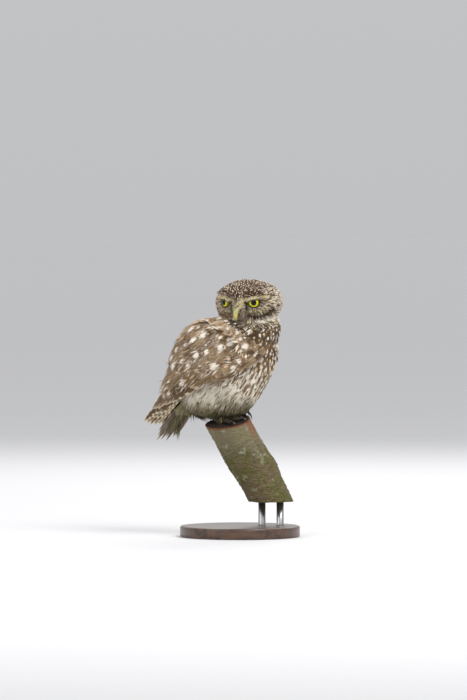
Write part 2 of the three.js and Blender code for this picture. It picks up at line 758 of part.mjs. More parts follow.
// Stand: a round base and two short rods up to the branch's level lower cut.
const base = new THREE.Mesh(
  new THREE.LatheGeometry(
    [[0, 0], [BASE_RADIUS, 0], [BASE_RADIUS, BASE_THICKNESS - 2], [BASE_RADIUS - 2, BASE_THICKNESS],
      [0, BASE_THICKNESS]].map(([r, z]) => new THREE.Vector2(r, z)),
    40,
  ),
  standWood,
);
base.name = "stand_base";
base.rotation.x = degrees(90);
part.add(base);

const rodHeight = PERCH_BOTTOM - BASE_THICKNESS - 2 * GAP;
const perchFoot = vector(PERCH_TOP).addScaledVector(perchAlong, -perchLength);
for (const [side, name] of [[-1, "stand_rod_a"], [1, "stand_rod_b"]]) {
  const rod = new THREE.Mesh(
    new THREE.CylinderGeometry(ROD_RADIUS, ROD_RADIUS, rodHeight, 20),
    rodSteel,
  );
  rod.name = name;
  rod.rotation.x = degrees(90);
  rod.position.set(
    perchFoot.x + side * 0.5 * ROD_SPACING,
    perchFoot.y,
    BASE_THICKNESS + GAP + 0.5 * rodHeight,
  );
  part.add(rod);
}

export default part;
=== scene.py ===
"""A little owl on a cut branch: skin, feathers, eyes, bill, feet, branch and display stand.

Shapes are worked out in millimetres in the bird's own frame (x to the breast, y to its left, z up)
and turned into the model's frame, in metres, when a mesh is made.
"""

import itertools
import math

import bpy
import numpy as np
from mathutils import Matrix, Vector
from mathutils.kdtree import KDTree


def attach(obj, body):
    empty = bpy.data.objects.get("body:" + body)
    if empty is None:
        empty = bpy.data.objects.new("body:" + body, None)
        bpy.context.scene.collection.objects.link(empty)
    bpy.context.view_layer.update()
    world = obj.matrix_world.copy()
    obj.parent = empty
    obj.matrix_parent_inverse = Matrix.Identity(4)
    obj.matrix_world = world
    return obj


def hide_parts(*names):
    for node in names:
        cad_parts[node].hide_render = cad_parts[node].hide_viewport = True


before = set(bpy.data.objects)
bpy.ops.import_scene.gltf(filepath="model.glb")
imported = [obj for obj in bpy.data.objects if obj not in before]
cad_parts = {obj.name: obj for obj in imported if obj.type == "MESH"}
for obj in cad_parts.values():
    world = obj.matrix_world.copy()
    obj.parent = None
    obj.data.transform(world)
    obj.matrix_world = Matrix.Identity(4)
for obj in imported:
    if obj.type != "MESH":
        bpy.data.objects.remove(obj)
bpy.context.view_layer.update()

MM = 0.001
rng = np.random.default_rng(11)

# Sizes that the solids share, in millimetres and degrees
BODY_YAW = 20
HEAD_YAW = -98
HEAD_PITCH = 4
PERCH_TOP = (-13.2, 0, 126.6)
PERCH_LEAN = (-0.468, -0.13, 0.874)
PERCH_CUT = (-0.172, -0.235, 0.956)
PERCH_RADIUS = (24, 22)
PERCH_BOTTOM = 38
PERCH_KNOB = {"reach": -66, "height": 3, "length": 13, "breadth": 0.5}
BIRD_BACK = 8
BASE_RADIUS = 66
BASE_THICKNESS = 12
ROD_RADIUS = 4
ROD_SPACING = 20
SIDES = ((-1, "right"), (1, "left"))
HEAD_CENTRE = (25, 0, 258)
HEAD_HALF = {"width": 37.5, "front": 29, "back": 34, "top": 25.5, "bottom": 26}
DISC = {"aside": 15.5, "up": -1, "radius": 17, "rim": 1.6}
EYE_RADIUS = 7.8
EYE_PLACE = {"forward": 18.2, "aside": 15.4, "up": 1.6, "splay": 25}
BELLY_LINE = [
    (-46, 0, 143), (-37, 0, 134), (-20, 0, 130.5), (0, 0, 130), (19, 0, 135.5), (33, 0, 147.5),
    (43.5, 0, 163), (52, 0, 180), (57, 0, 197), (58.5, 0, 212), (57, 0, 227),
]
BACK_LINE = [
    (-51, 0, 151), (-59, 0, 163), (-61, 0, 177), (-61, 0, 190), (-59, 0, 203), (-54, 0, 216.5),
    (-47, 0, 227.5), (-37, 0, 236), (-25, 0, 241), (-13, 0, 243), (-3, 0, 244),
]
HALF_WIDTHS = [(w, 0, 0) for w in (4, 18, 29, 36, 40, 42.5, 43.5, 43, 41.5, 39, 35)]
TAIL_ROOT = (-43, 0, 151)
TAIL_DROP = 52
TAIL_ROLL = 15
TAIL_LENGTH = 57

# The photograph's view
PIXEL = 1.1  # millimetres to a pixel at the bird
FRAME_SIZE = (467, 700)
FRAME_MIDDLE = (-7.15, 0, 205.4)
CAMERA_RISE = 1.5
CAMERA_DISTANCE = 6000


def rotation(axis, degrees):
    return np.array(Matrix.Rotation(math.radians(degrees), 3, axis))


def unit(v):
    v = np.asarray(v, float)
    return v / np.maximum(np.linalg.norm(v, axis=-1, keepdims=True), 1e-9)


def hill(x, width):
    return np.exp(-(x * x) / (width * width))


def step(x, low, high):
    """Rises smoothly from 0 at low to 1 at high; low may be the larger."""
    t = np.clip((x - low) / (high - low), 0, 1)
    return t * t * (3 - 2 * t)


def mix(a, b, t):
    return a + (b - a) * t


def vectors(*parts):
    """One array of vectors from their parts, each an array or a number."""
    return np.stack(np.broadcast_arrays(*parts), -1)


def polar(radius, angle, turn):
    """Points on a ball by the angle from its own x axis and the turn round it."""
    return vectors(
        radius * np.cos(angle), radius * np.sin(angle) * np.cos(turn),
        radius * np.sin(angle) * np.sin(turn),
    )


class Place:
    """A frame in the model: turns and moves points, and turns directions."""

    def __init__(self, turn, move):
        self.turn = np.asarray(turn, float)
        self.move = np.asarray(move, float)

    def points(self, p):
        return np.asarray(p, float) @ self.turn.T + self.move

    def ways(self, d):
        return np.asarray(d, float) @ self.turn.T

    def inside(self, p):
        return (np.asarray(p, float) - self.move) @ self.turn

    def after(self, other):
        return Place(self.turn @ other.turn, self.points(other.move))


bird = Place(rotation("Z", -BODY_YAW), (PERCH_TOP[0], PERCH_TOP[1] + BIRD_BACK, 0))
head = bird.after(Place(rotation("Z", HEAD_YAW) @ rotation("Y", HEAD_PITCH), HEAD_CENTRE))
tail = bird.after(
    Place(rotation("Y", 180 - TAIL_DROP) @ rotation("X", TAIL_ROLL), TAIL_ROOT)
)
world = Place(np.eye(3), (0, 0, 0))


# Colours, as red, green and blue from 0 to 255
def colour(r, g, b):
    c = np.array([r, g, b]) / 255
    return np.where(c <= 0.04045, c / 12.92, ((c + 0.055) / 1.055) ** 2.4)


BROWN = colour(108, 86, 60)
BROWN_DARK = colour(66, 48, 34)
BROWN_WARM = colour(126, 98, 66)
CROWN = colour(80, 60, 44)
WHITE = colour(224, 216, 202)
BUFF = colour(192, 172, 138)
PINK = colour(206, 178, 150)
CREAM = colour(208, 196, 168)
BROW = colour(206, 190, 146)
BELLY = colour(200, 191, 168)
GREY = colour(142, 129, 110)
TAUPE = colour(104, 90, 80)
OLIVE = colour(112, 102, 66)
UNDERTAIL = colour(178, 170, 124)
TAIL_GREY = colour(112, 100, 90)


# Curves and surfaces of the solids
def spline(points):
    """The smooth curve through points that the solids use, as a function of 0 to 1."""
    p = np.asarray(points, float)
    padded = np.vstack([2 * p[0] - p[1], p, 2 * p[-1] - p[-2]])
    spans = len(p) - 1

    def at(t):
        t = np.clip(np.asarray(t, float), 0, 1) * spans
        i = np.minimum(t.astype(int), spans - 1)
        w = (t - i)[..., None]
        a, b, c, d = (padded[i + k] for k in range(4))
        ab, bc, cd = (
            np.sqrt(np.linalg.norm(q - p, axis=-1, keepdims=True) + 1e-9)
            for p, q in ((a, b), (b, c), (c, d))
        )
        start = ((b - a) / ab - (c - a) / (ab + bc) + (c - b) / bc) * bc
        end = ((c - b) / bc - (d - b) / (bc + cd) + (d - c) / cd) * bc
        return (
            (2 * w**3 - 3 * w**2 + 1) * b
            + (w**3 - 2 * w**2 + w) * start
            + (3 * w**2 - 2 * w**3) * c
            + (w**3 - w**2) * end
        )

    return at


belly_line = spline(BELLY_LINE)
back_line = spline(BACK_LINE)
half_width = spline(HALF_WIDTHS)


def torso_point(t, angle, side=1):
    """t from vent to neck, angle in degrees from the belly's middle line to the back's."""
    belly = belly_line(t)
    back = back_line(t)
    middle = (belly + back) / 2
    turn = np.radians(angle)
    p = middle + (belly - middle) * np.cos(turn)[..., None]
    p[..., 1] += side * half_width(t)[..., 0] * np.sin(turn)
    return p


def torso_out(t, angle, side=1):
    t = np.asarray(t, float)
    angle = np.asarray(angle, float)
    low = torso_point(np.maximum(t - 0.01, 0), angle, side)
    high = torso_point(np.minimum(t + 0.01, 1), angle, side)
    around = torso_point(t, angle + 1, side) - torso_point(t, angle - 1, side)
    return unit(np.cross(high - low, around)) * -side


def head_point(lift, turn, grow=0):
    """A point of the head in its own frame; lift and turn in radians."""
    way = np.stack(
        [np.cos(lift) * np.cos(turn), np.cos(lift) * np.sin(turn), np.sin(lift)], -1
    )
    x, y, z = np.abs(way[..., 0]), np.abs(way[..., 1]), np.abs(way[..., 2])
    long = np.where(way[..., 0] > 0, HEAD_HALF["front"], HEAD_HALF["back"])
    high = np.where(way[..., 2] > 0, HEAD_HALF["top"], HEAD_HALF["bottom"])
    power = 2.12
    size = (x / long) ** power + (y / HEAD_HALF["width"]) ** power + (z / high) ** power
    p = way * (size ** (-1 / power))[..., None]
    aside = np.abs(p[..., 1])
    from_eye = np.hypot(aside - DISC["aside"], p[..., 2] - DISC["up"])
    brow = 5.5 + 0.3 * aside
    out = 3.6 * hill(p[..., 2] - brow - 3, 3.2) * hill(aside - 13, 12)
    out = out - 4.2 * hill(from_eye, 9.5)
    out = out + DISC["rim"] * hill(from_eye - DISC["radius"], 3)
    out = out + 4.5 * hill(aside, 5) * hill(p[..., 2] + 3, 9)
    out = out + 1.8 * hill(aside - 8, 7) * hill(p[..., 2] + 14, 5)
    p[..., 0] += out * np.clip(way[..., 0] * 2.2, 0, 1)
    return p + way * np.asarray(grow, float)[..., None]


def wing_sheet(side):
    """The wing's surface: point(u, v) and out(u, v), u from shoulder to point, v from back down."""

    def on(t, angle, lift):
        t, angle = np.array([float(t)]), np.array([float(angle)])
        return (torso_point(t, angle, side) + lift * torso_out(t, angle, side))[0]

    def at(x, y, z):
        return np.array([x, side * y, z])

    upper = [
        on(0.9, 150, 1.6), on(0.72, 156, 1.8), on(0.53, 158, 2), on(0.34, 158, 2.8),
        at(-66, 12, 169), at(-77, 10, 152), at(-88, 9, 138), at(-97, 8.5, 127),
    ]
    middle = [
        on(0.92, 94, 1.5), on(0.76, 98, 2.5), on(0.58, 104, 3.5), on(0.4, 113, 4.5),
        at(-55, 26, 163), at(-68, 20, 148), at(-80, 15.5, 134), at(-90, 12, 121),
    ]
    lower = [
        on(0.86, 36, 1), on(0.75, 48, 2.5), on(0.62, 65, 3.5), on(0.47, 82, 4.5),
        at(-38, 36, 159), at(-55, 28, 147), at(-69, 21, 132), at(-81, 15, 115),
    ]
    lines = [spline(points) for points in (upper, middle, lower)]

    def point(u, v):
        u, v = np.broadcast_arrays(np.asarray(u, float), np.asarray(v, float))
        a, b, c = (line(u) for line in lines)
        w = v[..., None]
        return 2 * (w - 0.5) * (w - 1) * a - 4 * w * (w - 1) * b + 2 * w * (w - 0.5) * c

    def out(u, v):
        u, v = np.broadcast_arrays(np.asarray(u, float), np.asarray(v, float))
        along = point(np.minimum(u + 0.02, 1), v) - point(np.maximum(u - 0.02, 0), v)
        across = point(u, v + 0.02) - point(u, v - 0.02)
        return unit(np.cross(along, across)) * -side

    return point, out


# Meshes
def mesh_object(name, points, faces, place=world):
    """A mesh from points in millimetres in a place's frame, all faces with the same corners."""
    points = place.points(points) * MM
    faces = np.asarray(faces, int)
    mesh = bpy.data.meshes.new(name)
    mesh.vertices.add(len(points))
    mesh.vertices.foreach_set("co", points.ravel())
    mesh.loops.add(faces.size)
    mesh.loops.foreach_set("vertex_index", faces.ravel())
    mesh.polygons.add(len(faces))
    mesh.polygons.foreach_set("loop_start", np.arange(len(faces)) * faces.shape[1])
    mesh.update(calc_edges=True)
    mesh.polygons.foreach_set("use_smooth", np.full(len(faces), True))
    obj = bpy.data.objects.new(name, mesh)
    bpy.context.scene.collection.objects.link(obj)
    return obj


def tube_faces(rings, sides):
    """Triangles between rings of points, and from each end's ring to the point at its middle."""
    faces = []
    for i in range(rings - 1):
        for j in range(sides):
            a, b = i * sides + j, i * sides + (j + 1) % sides
            faces += [(a, b, b + sides), (a, b + sides, a + sides)]
    for end, centre in ((0, rings * sides), (rings - 1, rings * sides + 1)):
        for j in range(sides):
            a, b = end * sides + j, end * sides + (j + 1) % sides
            faces.append((centre, a, b) if end else (centre, b, a))
    return faces


def loft(name, rings, place=world):
    """A closed mesh through rings of points, each end closed to its ring's middle."""
    rings = np.asarray(rings, float)
    ends = np.stack([rings[0].mean(0), rings[-1].mean(0)])
    points = np.vstack([rings.reshape(-1, 3), ends])
    return mesh_object(name, points, tube_faces(len(rings), rings.shape[1]), place)


def taper_rings(points, radii, sides, steps, flatten=1):
    """Rings of a round or flattened tapering form along a curve."""
    t = np.linspace(0, 1, steps + 1)
    path = spline(points)
    along = unit(path(np.minimum(t + 0.005, 1)) - path(np.maximum(t - 0.005, 0)))
    radius = np.interp(t * (len(radii) - 1), np.arange(len(radii)), radii)
    side = np.cross((0, 0, 1), along[0])
    if np.linalg.norm(side) < 0.2:
        side = np.array([0, 1.0, 0])
    turn = np.linspace(0, 2 * np.pi, sides, endpoint=False)
    rings = []
    for c, a, r in zip(path(t), along, radius):
        side = unit(side - a * np.dot(side, a))
        up = unit(np.cross(a, side))
        rings.append(
            c + r * (np.cos(turn)[:, None] * side + flatten * np.sin(turn)[:, None] * up)
        )
    return np.array(rings)


def joined(name, parts):
    """The first of some meshes, with the others joined to it."""
    bpy.ops.object.select_all(action="DESELECT")
    for part in parts:
        part.select_set(True)
    bpy.context.view_layer.objects.active = parts[0]
    bpy.ops.object.join()
    parts[0].name = name
    return parts[0]


def store(obj, kind, **values):
    """Keeps values for each point of a mesh, as colours, vectors or single numbers."""
    key = {"FLOAT_COLOR": "color", "FLOAT_VECTOR": "vector", "FLOAT": "value"}[kind]
    for name, value in values.items():
        if kind == "FLOAT_COLOR":
            value = np.hstack([value, np.ones((len(value), 1))])
        data = obj.data.attributes.new(name, kind, "POINT").data
        data.foreach_set(key, np.ascontiguousarray(value).ravel())


def settle(obj, material, slot, *nodes):
    """Gives a piece its material, puts it on the one body, and hides the parts named in nodes. The
    slot is not used.
    """
    obj.data.materials.clear()
    obj.data.materials.append(material)
    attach(obj, "root")
    if nodes:
        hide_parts(*nodes)


# Materials
class Value:
    """A socket's value in a material, so that a sum of sockets is written as a sum."""

    def __init__(self, shader, socket):
        self.shader = shader
        self.socket = socket

    def __add__(self, other):
        return self.shader.math("ADD", self, other)

    def __sub__(self, other):
        return self.shader.math("SUBTRACT", self, other)

    def __mul__(self, other):
        return self.shader.math("MULTIPLY", self, other)

    def __truediv__(self, other):
        return self.shader.math("DIVIDE", self, other)

    def __gt__(self, other):
        return self.shader.math("GREATER_THAN", self, other)

    def __abs__(self):
        return self.shader.math("ABSOLUTE", self)


class Shader:
    """A short way to write a material's nodes."""

    def __init__(self, name):
        self.material = bpy.data.materials.new(name)
        self.material.use_nodes = True
        self.tree = self.material.node_tree
        self.surface = self.tree.nodes["Principled BSDF"]

    def plug(self, socket, value):
        if isinstance(value, Value):
            self.tree.links.new(value.socket, socket)
        elif isinstance(value, (tuple, list, np.ndarray)) and socket.type == "RGBA":
            socket.default_value = (*value[:3], 1)
        else:
            socket.default_value = value

    def node(self, kind, output=0, settings=None, **inputs):
        """A node's output, with inputs by name, or as i0, i1 and so on by place."""
        made = self.tree.nodes.new("ShaderNode" + kind)
        for key, value in (settings or {}).items():
            setattr(made, key, value)
        for key, value in inputs.items():
            index = int(key[1:]) if key[1:].isdigit() else key.replace("_", " ")
            self.plug(made.inputs[index], value)
        return Value(self, made.outputs[output])

    def math(self, operation, a, b=0.0):
        return self.node("Math", settings={"operation": operation}, i0=a, i1=b)

    def most(self, a, b):
        return self.math("MAXIMUM", a, b)

    def fade(self, value, low, high, out_low=0.0, out_high=1.0):
        """Goes smoothly from out_low, where value is low, to out_high, where it is high."""
        return self.node(
            "MapRange", settings={"interpolation_type": "SMOOTHSTEP"},
            i0=value, i1=low, i2=high, i3=out_low, i4=out_high,
        )

    def blend(self, factor, a, b, kind="MIX"):
        """The colour a, or b where factor is 1; the last input sockets are the colours' own."""
        return self.node(
            "Mix", 2, {"data_type": "RGBA", "blend_type": kind}, i0=factor, i6=a, i7=b
        )

    def noise(self, scale, detail=3.0, vector=None, roughness=0.5, distortion=0.0):
        extra = {"Vector": vector} if vector is not None else {}
        return self.node(
            "TexNoise", Scale=scale, Detail=detail, Roughness=roughness, Distortion=distortion,
            **extra,
        )

    def split(self, vector):
        made = self.tree.nodes.new("ShaderNodeSeparateXYZ")
        self.plug(made.inputs[0], vector)
        return [Value(self, socket) for socket in made.outputs]

    def attribute(self, name, output=1):
        """A value kept on the mesh: output 0 is its colour, 1 its vector and 2 its number."""
        return self.node("Attribute", output, {"attribute_name": name})

    def bump(self, height, strength, distance):
        return self.node("Bump", Strength=strength, Distance=distance, Height=height)

    def finish(self, color, roughness, normal=None, **fixed):
        self.plug(self.surface.inputs["Base Color"], color)
        self.plug(self.surface.inputs["Roughness"], roughness)
        if normal is not None:
            self.plug(self.surface.inputs["Normal"], normal)
        for key, value in fixed.items():
            self.surface.inputs[key.replace("_", " ")].default_value = value
        return self.material


def vane_material():
    """Feathers: a streak, a round spot or bars over the base colour, drawn from each vane's values."""
    s = Shader("vane")
    across, along, _ = s.split(s.node("UVMap", settings={"uv_map": "Vane"}))
    streak_width, spot_size, bars = s.split(s.attribute("marks"))
    bar_edge, spot_along, spot_aside = s.split(s.attribute("place"))
    spot_long, seed, fringe = s.split(s.attribute("form"))
    signed = across * 2.0 - 1.0
    aside = abs(signed)
    wobble = s.noise(520.0, 3.0) - 0.5

    streak = s.fade(aside + wobble * 0.5, streak_width * 1.35, streak_width * 0.7)
    streak = streak * (streak_width > 0.01)
    dx = (signed - spot_aside) / s.most(spot_size, 0.01)
    dy = (along - spot_along) / s.most(spot_size * spot_long, 0.001)
    ragged = wobble * 0.8 + (s.noise(230.0, 2.0) - 0.5) * 1.6
    distance = s.math("SQRT", dx * dx + dy * dy)
    dot = s.fade(distance + ragged, 1.3, 0.65) * (spot_size > 0.02)
    bent = along + (wobble * 0.06 + aside * 0.05)
    wave = s.math("SINE", (bent + seed) * (bars * 2 * math.pi))
    bar = s.fade(wave, 0.1, 0.6) * s.fade(aside, bar_edge, bar_edge + 0.3) * (bars > 0.5)
    rim = s.fade(along + aside * aside * 0.16 + wobble * 0.1, 0.88, 1.04) * fringe
    margin = s.fade(aside + wobble * 0.3, 0.8, 0.94) * (fringe * 0.8)
    marked = s.most(s.most(streak, dot), s.most(bar, s.most(rim, margin)))
    color = s.blend(marked, s.attribute("base", 0), s.attribute("mark", 0))

    barb = s.math("SINE", along * 170.0 + aside * -46.0)
    blotch = s.fade(s.noise(210.0, 3.0), 0.3, 0.7, 0.8, 1.16)
    fine = s.fade(s.noise(1300.0, 2.0), 0.3, 0.7, 0.84, 1.14)
    shaft = s.fade(aside, 0.03, 0.1, 0.86, 1.0)
    shade = blotch * fine * (s.fade(barb, -1.0, 1.0, 0.95, 1.04) * shaft)
    color = s.blend(1.0, color, s.node("CombineColor", Red=shade, Green=shade, Blue=shade), "MULTIPLY")
    normal = s.bump(barb * 0.5 + s.noise(1500.0, 2.0), 0.3, 0.0002)
    return s.finish(color, 0.85, normal, Specular_IOR_Level=0.2, Sheen_Weight=0.06)


def skin_material():
    """The skin under the feathers, in the coat's own markings, matt and downy."""
    s = Shader("skin")
    down = s.noise(700.0, 4.0)
    color = s.blend(s.fade(down, 0.3, 0.7, 0.0, 0.5), s.attribute("base", 0), s.attribute("mark", 0))
    return s.finish(color, 0.95, s.bump(down, 0.6, 0.0006), Specular_IOR_Level=0.15)


# Feathers: a vane's section, each point with its place across, its share of the half width up and
# its share of the thickness; the faces that close a section's ends; and shares of a vane's length,
# with its width there
THIN = [(-1, 0, 0), (0, 0.2, 0), (1, 0, 0), (0, 0.2, -1)]
WIDE = [
    (-1, 0, 0), (-0.55, 0.1, 0), (0, 0.17, 0), (0.55, 0.1, 0), (1, 0, 0),
    (0.55, 0.1, -1), (0, 0.17, -1), (-0.55, 0.1, -1),
]
BARB = [(-1, 0, 0), (0, 0.5, 0), (1, 0, 0)]
CAPS = {
    3: [(0, 1, 2)],
    4: [(0, 1, 2), (0, 2, 3)],
    8: [(0, 1, 7), (1, 2, 6), (1, 6, 7), (2, 3, 5), (2, 5, 6), (3, 4, 5)],
}
ROUND_TIP = ([0, 0.25, 0.55, 0.82, 0.95, 1], [0.35, 0.8, 1, 0.86, 0.5, 0.12])
HAIR_TIP = ([0, 0.4, 0.75, 1], [0.7, 1, 0.75, 0.08])


class Coat:
    """One coat piece: vanes gathered from arrays, with what its material draws on them."""

    def __init__(self, name):
        self.name = name
        self.points, self.faces, self.vane, self.bake, self.values = [], [], [], [], []
        self.count = 0

    def lay(self, s, spine, across, out, half, look, bake, place=world, section=THIN, thick=0.2,
            tilt=0.0, barb=None):
        """Vanes along ready spines, n of them with one point for each share in s. A barb is given
        its place across its feather, its share of it, and the feather's half width to its length."""
        n, rings = half.shape
        q, up, under = (np.array([p[k] for p in section])[None, None, :, None] for k in range(3))
        wide = half[:, :, None, None]
        ring = (
            spine[:, :, None]
            + across[:, :, None] * q * wide
            + out[:, :, None] * (q * wide * tilt + up * wide + under * thick)
        )
        sides = len(section)
        index = np.arange(rings * sides).reshape(rings, sides)
        a, b = index[:-1], np.roll(index, -1, 1)[:-1]
        c, d = np.roll(index, -1, 1)[1:], index[1:]
        cap = np.array(CAPS[sides])
        faces = np.concatenate([
            np.stack([a, b, c], -1).reshape(-1, 3), np.stack([a, c, d], -1).reshape(-1, 3),
            cap[:, ::-1], cap + (rings - 1) * sides,
        ])
        start = self.count + np.arange(n)[:, None, None] * rings * sides
        self.faces.append((faces[None] + start).reshape(-1, 3))
        self.points.append(place.points(ring.reshape(-1, 3)))
        middle, share, shape = barb or (np.zeros(n), 1, None)
        u = np.broadcast_to((middle[:, None, None] + q[..., 0] * share + 1) / 2, (n, rings, sides))
        v = np.broadcast_to(np.asarray(s)[None, :, None], (n, rings, sides))
        vane_uv = np.stack([u, v], -1).reshape(-1, 2)
        self.vane.append(vane_uv)
        patch = np.clip(np.asarray(bake, float), 0.002, 0.998)
        self.bake.append(np.repeat(patch, rings * sides, 0) + (vane_uv - 0.5) * 0.003)
        if shape is None:
            shape = half.max(1) / np.linalg.norm(np.diff(spine, axis=1), axis=-1).sum(1)
        form = np.stack([look["long"] * shape, look["seed"], look["fringe"]], -1)
        values = np.concatenate([look["base"], look["mark"], look["marks"], look["place"], form], 1)
        self.values.append(np.repeat(values, rings * sides, 0))
        self.count += n * rings * sides

    def add(self, root, along, out, length, width, look, bake, *,
            shape=ROUND_TIP, section=THIN, sink=1.5, rise=0.6, bend=0.0, twist=0.0, thick=0.18,
            barb=None):
        """Vanes from roots in the model's frame. The root is sunk by sink, and the tip rises by rise
        over a surface that curves away by bend, one over its radius."""
        n = len(root)
        s = np.array(shape[0])[None, :, None]
        half = 0.5 * np.broadcast_to(width, n)[:, None] * np.array(shape[1])[None]
        out = unit(out)
        along = unit(along - out * np.sum(along * out, -1, keepdims=True))
        across = np.cross(out, along)
        length, sink, rise, bend, twist = (
            np.broadcast_to(x, n)[:, None, None] for x in (length, sink, rise, bend, twist)
        )
        height = mix(-sink, rise, s**0.8) - 0.5 * bend * (length * s) ** 2
        spine = root[:, None] + along[:, None] * (length * s) + out[:, None] * height
        spine = spine + across[:, None] * twist * (length * s) ** 2
        self.lay(shape[0], spine, across[:, None], out[:, None], half, look, bake, world, section,
                 thick, 0.0, barb)

    def build(self, slot):
        faces = np.concatenate(self.faces)
        obj = mesh_object(self.name, np.concatenate(self.points), faces)
        mesh = obj.data
        for name, values in (("Vane", self.vane), ("OFBake", self.bake)):
            layer = mesh.uv_layers.new(name=name)
            layer.data.foreach_set("uv", np.concatenate(values)[faces.ravel()].ravel())
        base, mark, marks, place, form = np.split(np.concatenate(self.values), 5, axis=1)
        store(obj, "FLOAT_COLOR", base=base, mark=mark)
        store(obj, "FLOAT_VECTOR", marks=marks, place=place, form=form)
        mesh.set_sharp_from_angle(angle=math.radians(75))
        settle(obj, vane, slot)


def looks(n, base, mark, streak=0.0, spot=0.0, bars=0.0, edge=0.4, along=0.72, aside=0.0,
          long=1.15, fringe=0.0):
    """What the vane material draws: base and mark colours, and the marks' sizes and places."""

    def spread(parts):
        return np.broadcast_to(parts, (n, 3))

    return {
        "base": spread(base),
        "mark": spread(mark),
        "marks": spread(vectors(streak, spot, bars)),
        "place": spread(vectors(edge, along, aside)),
        "long": np.broadcast_to(long, n),
        "fringe": np.broadcast_to(fringe, n),
        "seed": rng.random(n),
    }


def varied(base, n, amount=0.1):
    """A colour that differs a little from vane to vane."""
    return np.clip(np.asarray(base) * (1 + amount * rng.normal(size=(n, 1))), 0.003, 1)


vane = vane_material()


# Face: the eyes' openings, the lie of the feathers and the markings
LID_REACH = math.radians(64)
LID_RADIUS = EYE_RADIUS * 1.02
LIDS_OPEN = {"wide": 6.4, "right_outer": 5.2, "high": 4.7, "low": 4.4, "frown": 1.9, "slant": 0.2}


def opening(turn, side):
    """How far the lids stand open from the gaze, in millimetres, round the eye's own frame."""
    k = LIDS_OPEN
    aside, up = np.cos(turn) * side, np.sin(turn)
    wide = np.where((aside > 0) & (side < 0), k["right_outer"], k["wide"])
    high = np.where(up > 0, k["high"], k["low"])
    ball = 1 / np.sqrt((aside / wide) ** 2 + (up / high) ** 2)
    frown = k["frown"] / np.maximum(up - k["slant"] * aside, 0.05)
    return np.minimum((ball**-5 + frown**-5) ** -0.2, 0.95 * EYE_RADIUS)


def eye_place(side):
    turn = rotation("Z", side * EYE_PLACE["splay"])
    move = (EYE_PLACE["forward"], side * EYE_PLACE["aside"], EYE_PLACE["up"])
    return head.after(Place(turn, move))


def lid_angle(turn, share, side):
    """The angle from the gaze on a lid, from its open edge at 0 to its outer edge at 1."""
    edge = np.arcsin(opening(turn, side) / EYE_RADIUS)
    return mix(edge, np.maximum(edge + 0.3, LID_REACH), share)


def beside_eye(points):
    """How far points lie outside the nearer eye's opening, in millimetres seen along the gaze."""
    gap = np.full(len(points), 1e3)
    for side in (-1, 1):
        x, y, z = eye_place(side).inside(points).T
        apart = np.hypot(y, z) - opening(np.arctan2(z, y), side)
        gap = np.where(x > 0, np.minimum(gap, apart), gap)
    return gap


def head_flow(h):
    """The lie of the head's feathers in its own frame: away from the bill, then down and back."""
    way = unit(h - (31, 0, 1))
    back = step(h[:, 0], 8, -20)[:, None]
    return mix(way, unit(way * 0.5 + (-0.55, 0, -0.85)), back)


def eye_distance(h):
    return np.hypot(np.abs(h[:, 1]) - EYE_PLACE["aside"], h[:, 2] - EYE_PLACE["up"])


def chin_line(aside):
    return np.interp(aside, (0, 10.4, 17.6, 24.5, 31, 36), (-16.6, -15.5, -17.4, -16.2, -13, -9))


def brow_line(aside):
    return 3.6 + 0.16 * aside


def on_face(h):
    """True within the two discs and between them."""
    aside = np.abs(h[:, 1])
    middle = np.where(aside < 5, (aside - 5) * 0.7, 0)
    below = h[:, 2] < brow_line(aside) + 1.5 + middle
    return (h[:, 0] > 3) & below & (h[:, 2] > chin_line(aside) - 6.5) & (aside < 34)


def face_streaks(h):
    """Streaks that run out from each eye, from -1 for dark to 1 for pale."""
    turn = np.arctan2(h[:, 2] - EYE_PLACE["up"], np.abs(h[:, 1]) - EYE_PLACE["aside"])
    far, side = eye_distance(h), np.sign(h[:, 1])
    wave = np.sin(19 * turn + 2.2 * np.sin(0.5 * far + 2 * turn) + side)
    wave = wave + np.sin(31 * turn + 2.5 * np.sin(0.9 * far - 3 * turn + side))
    return 0.42 * wave + 0.3 * np.sin(1.7 * far + 5 * np.sin(7 * turn))


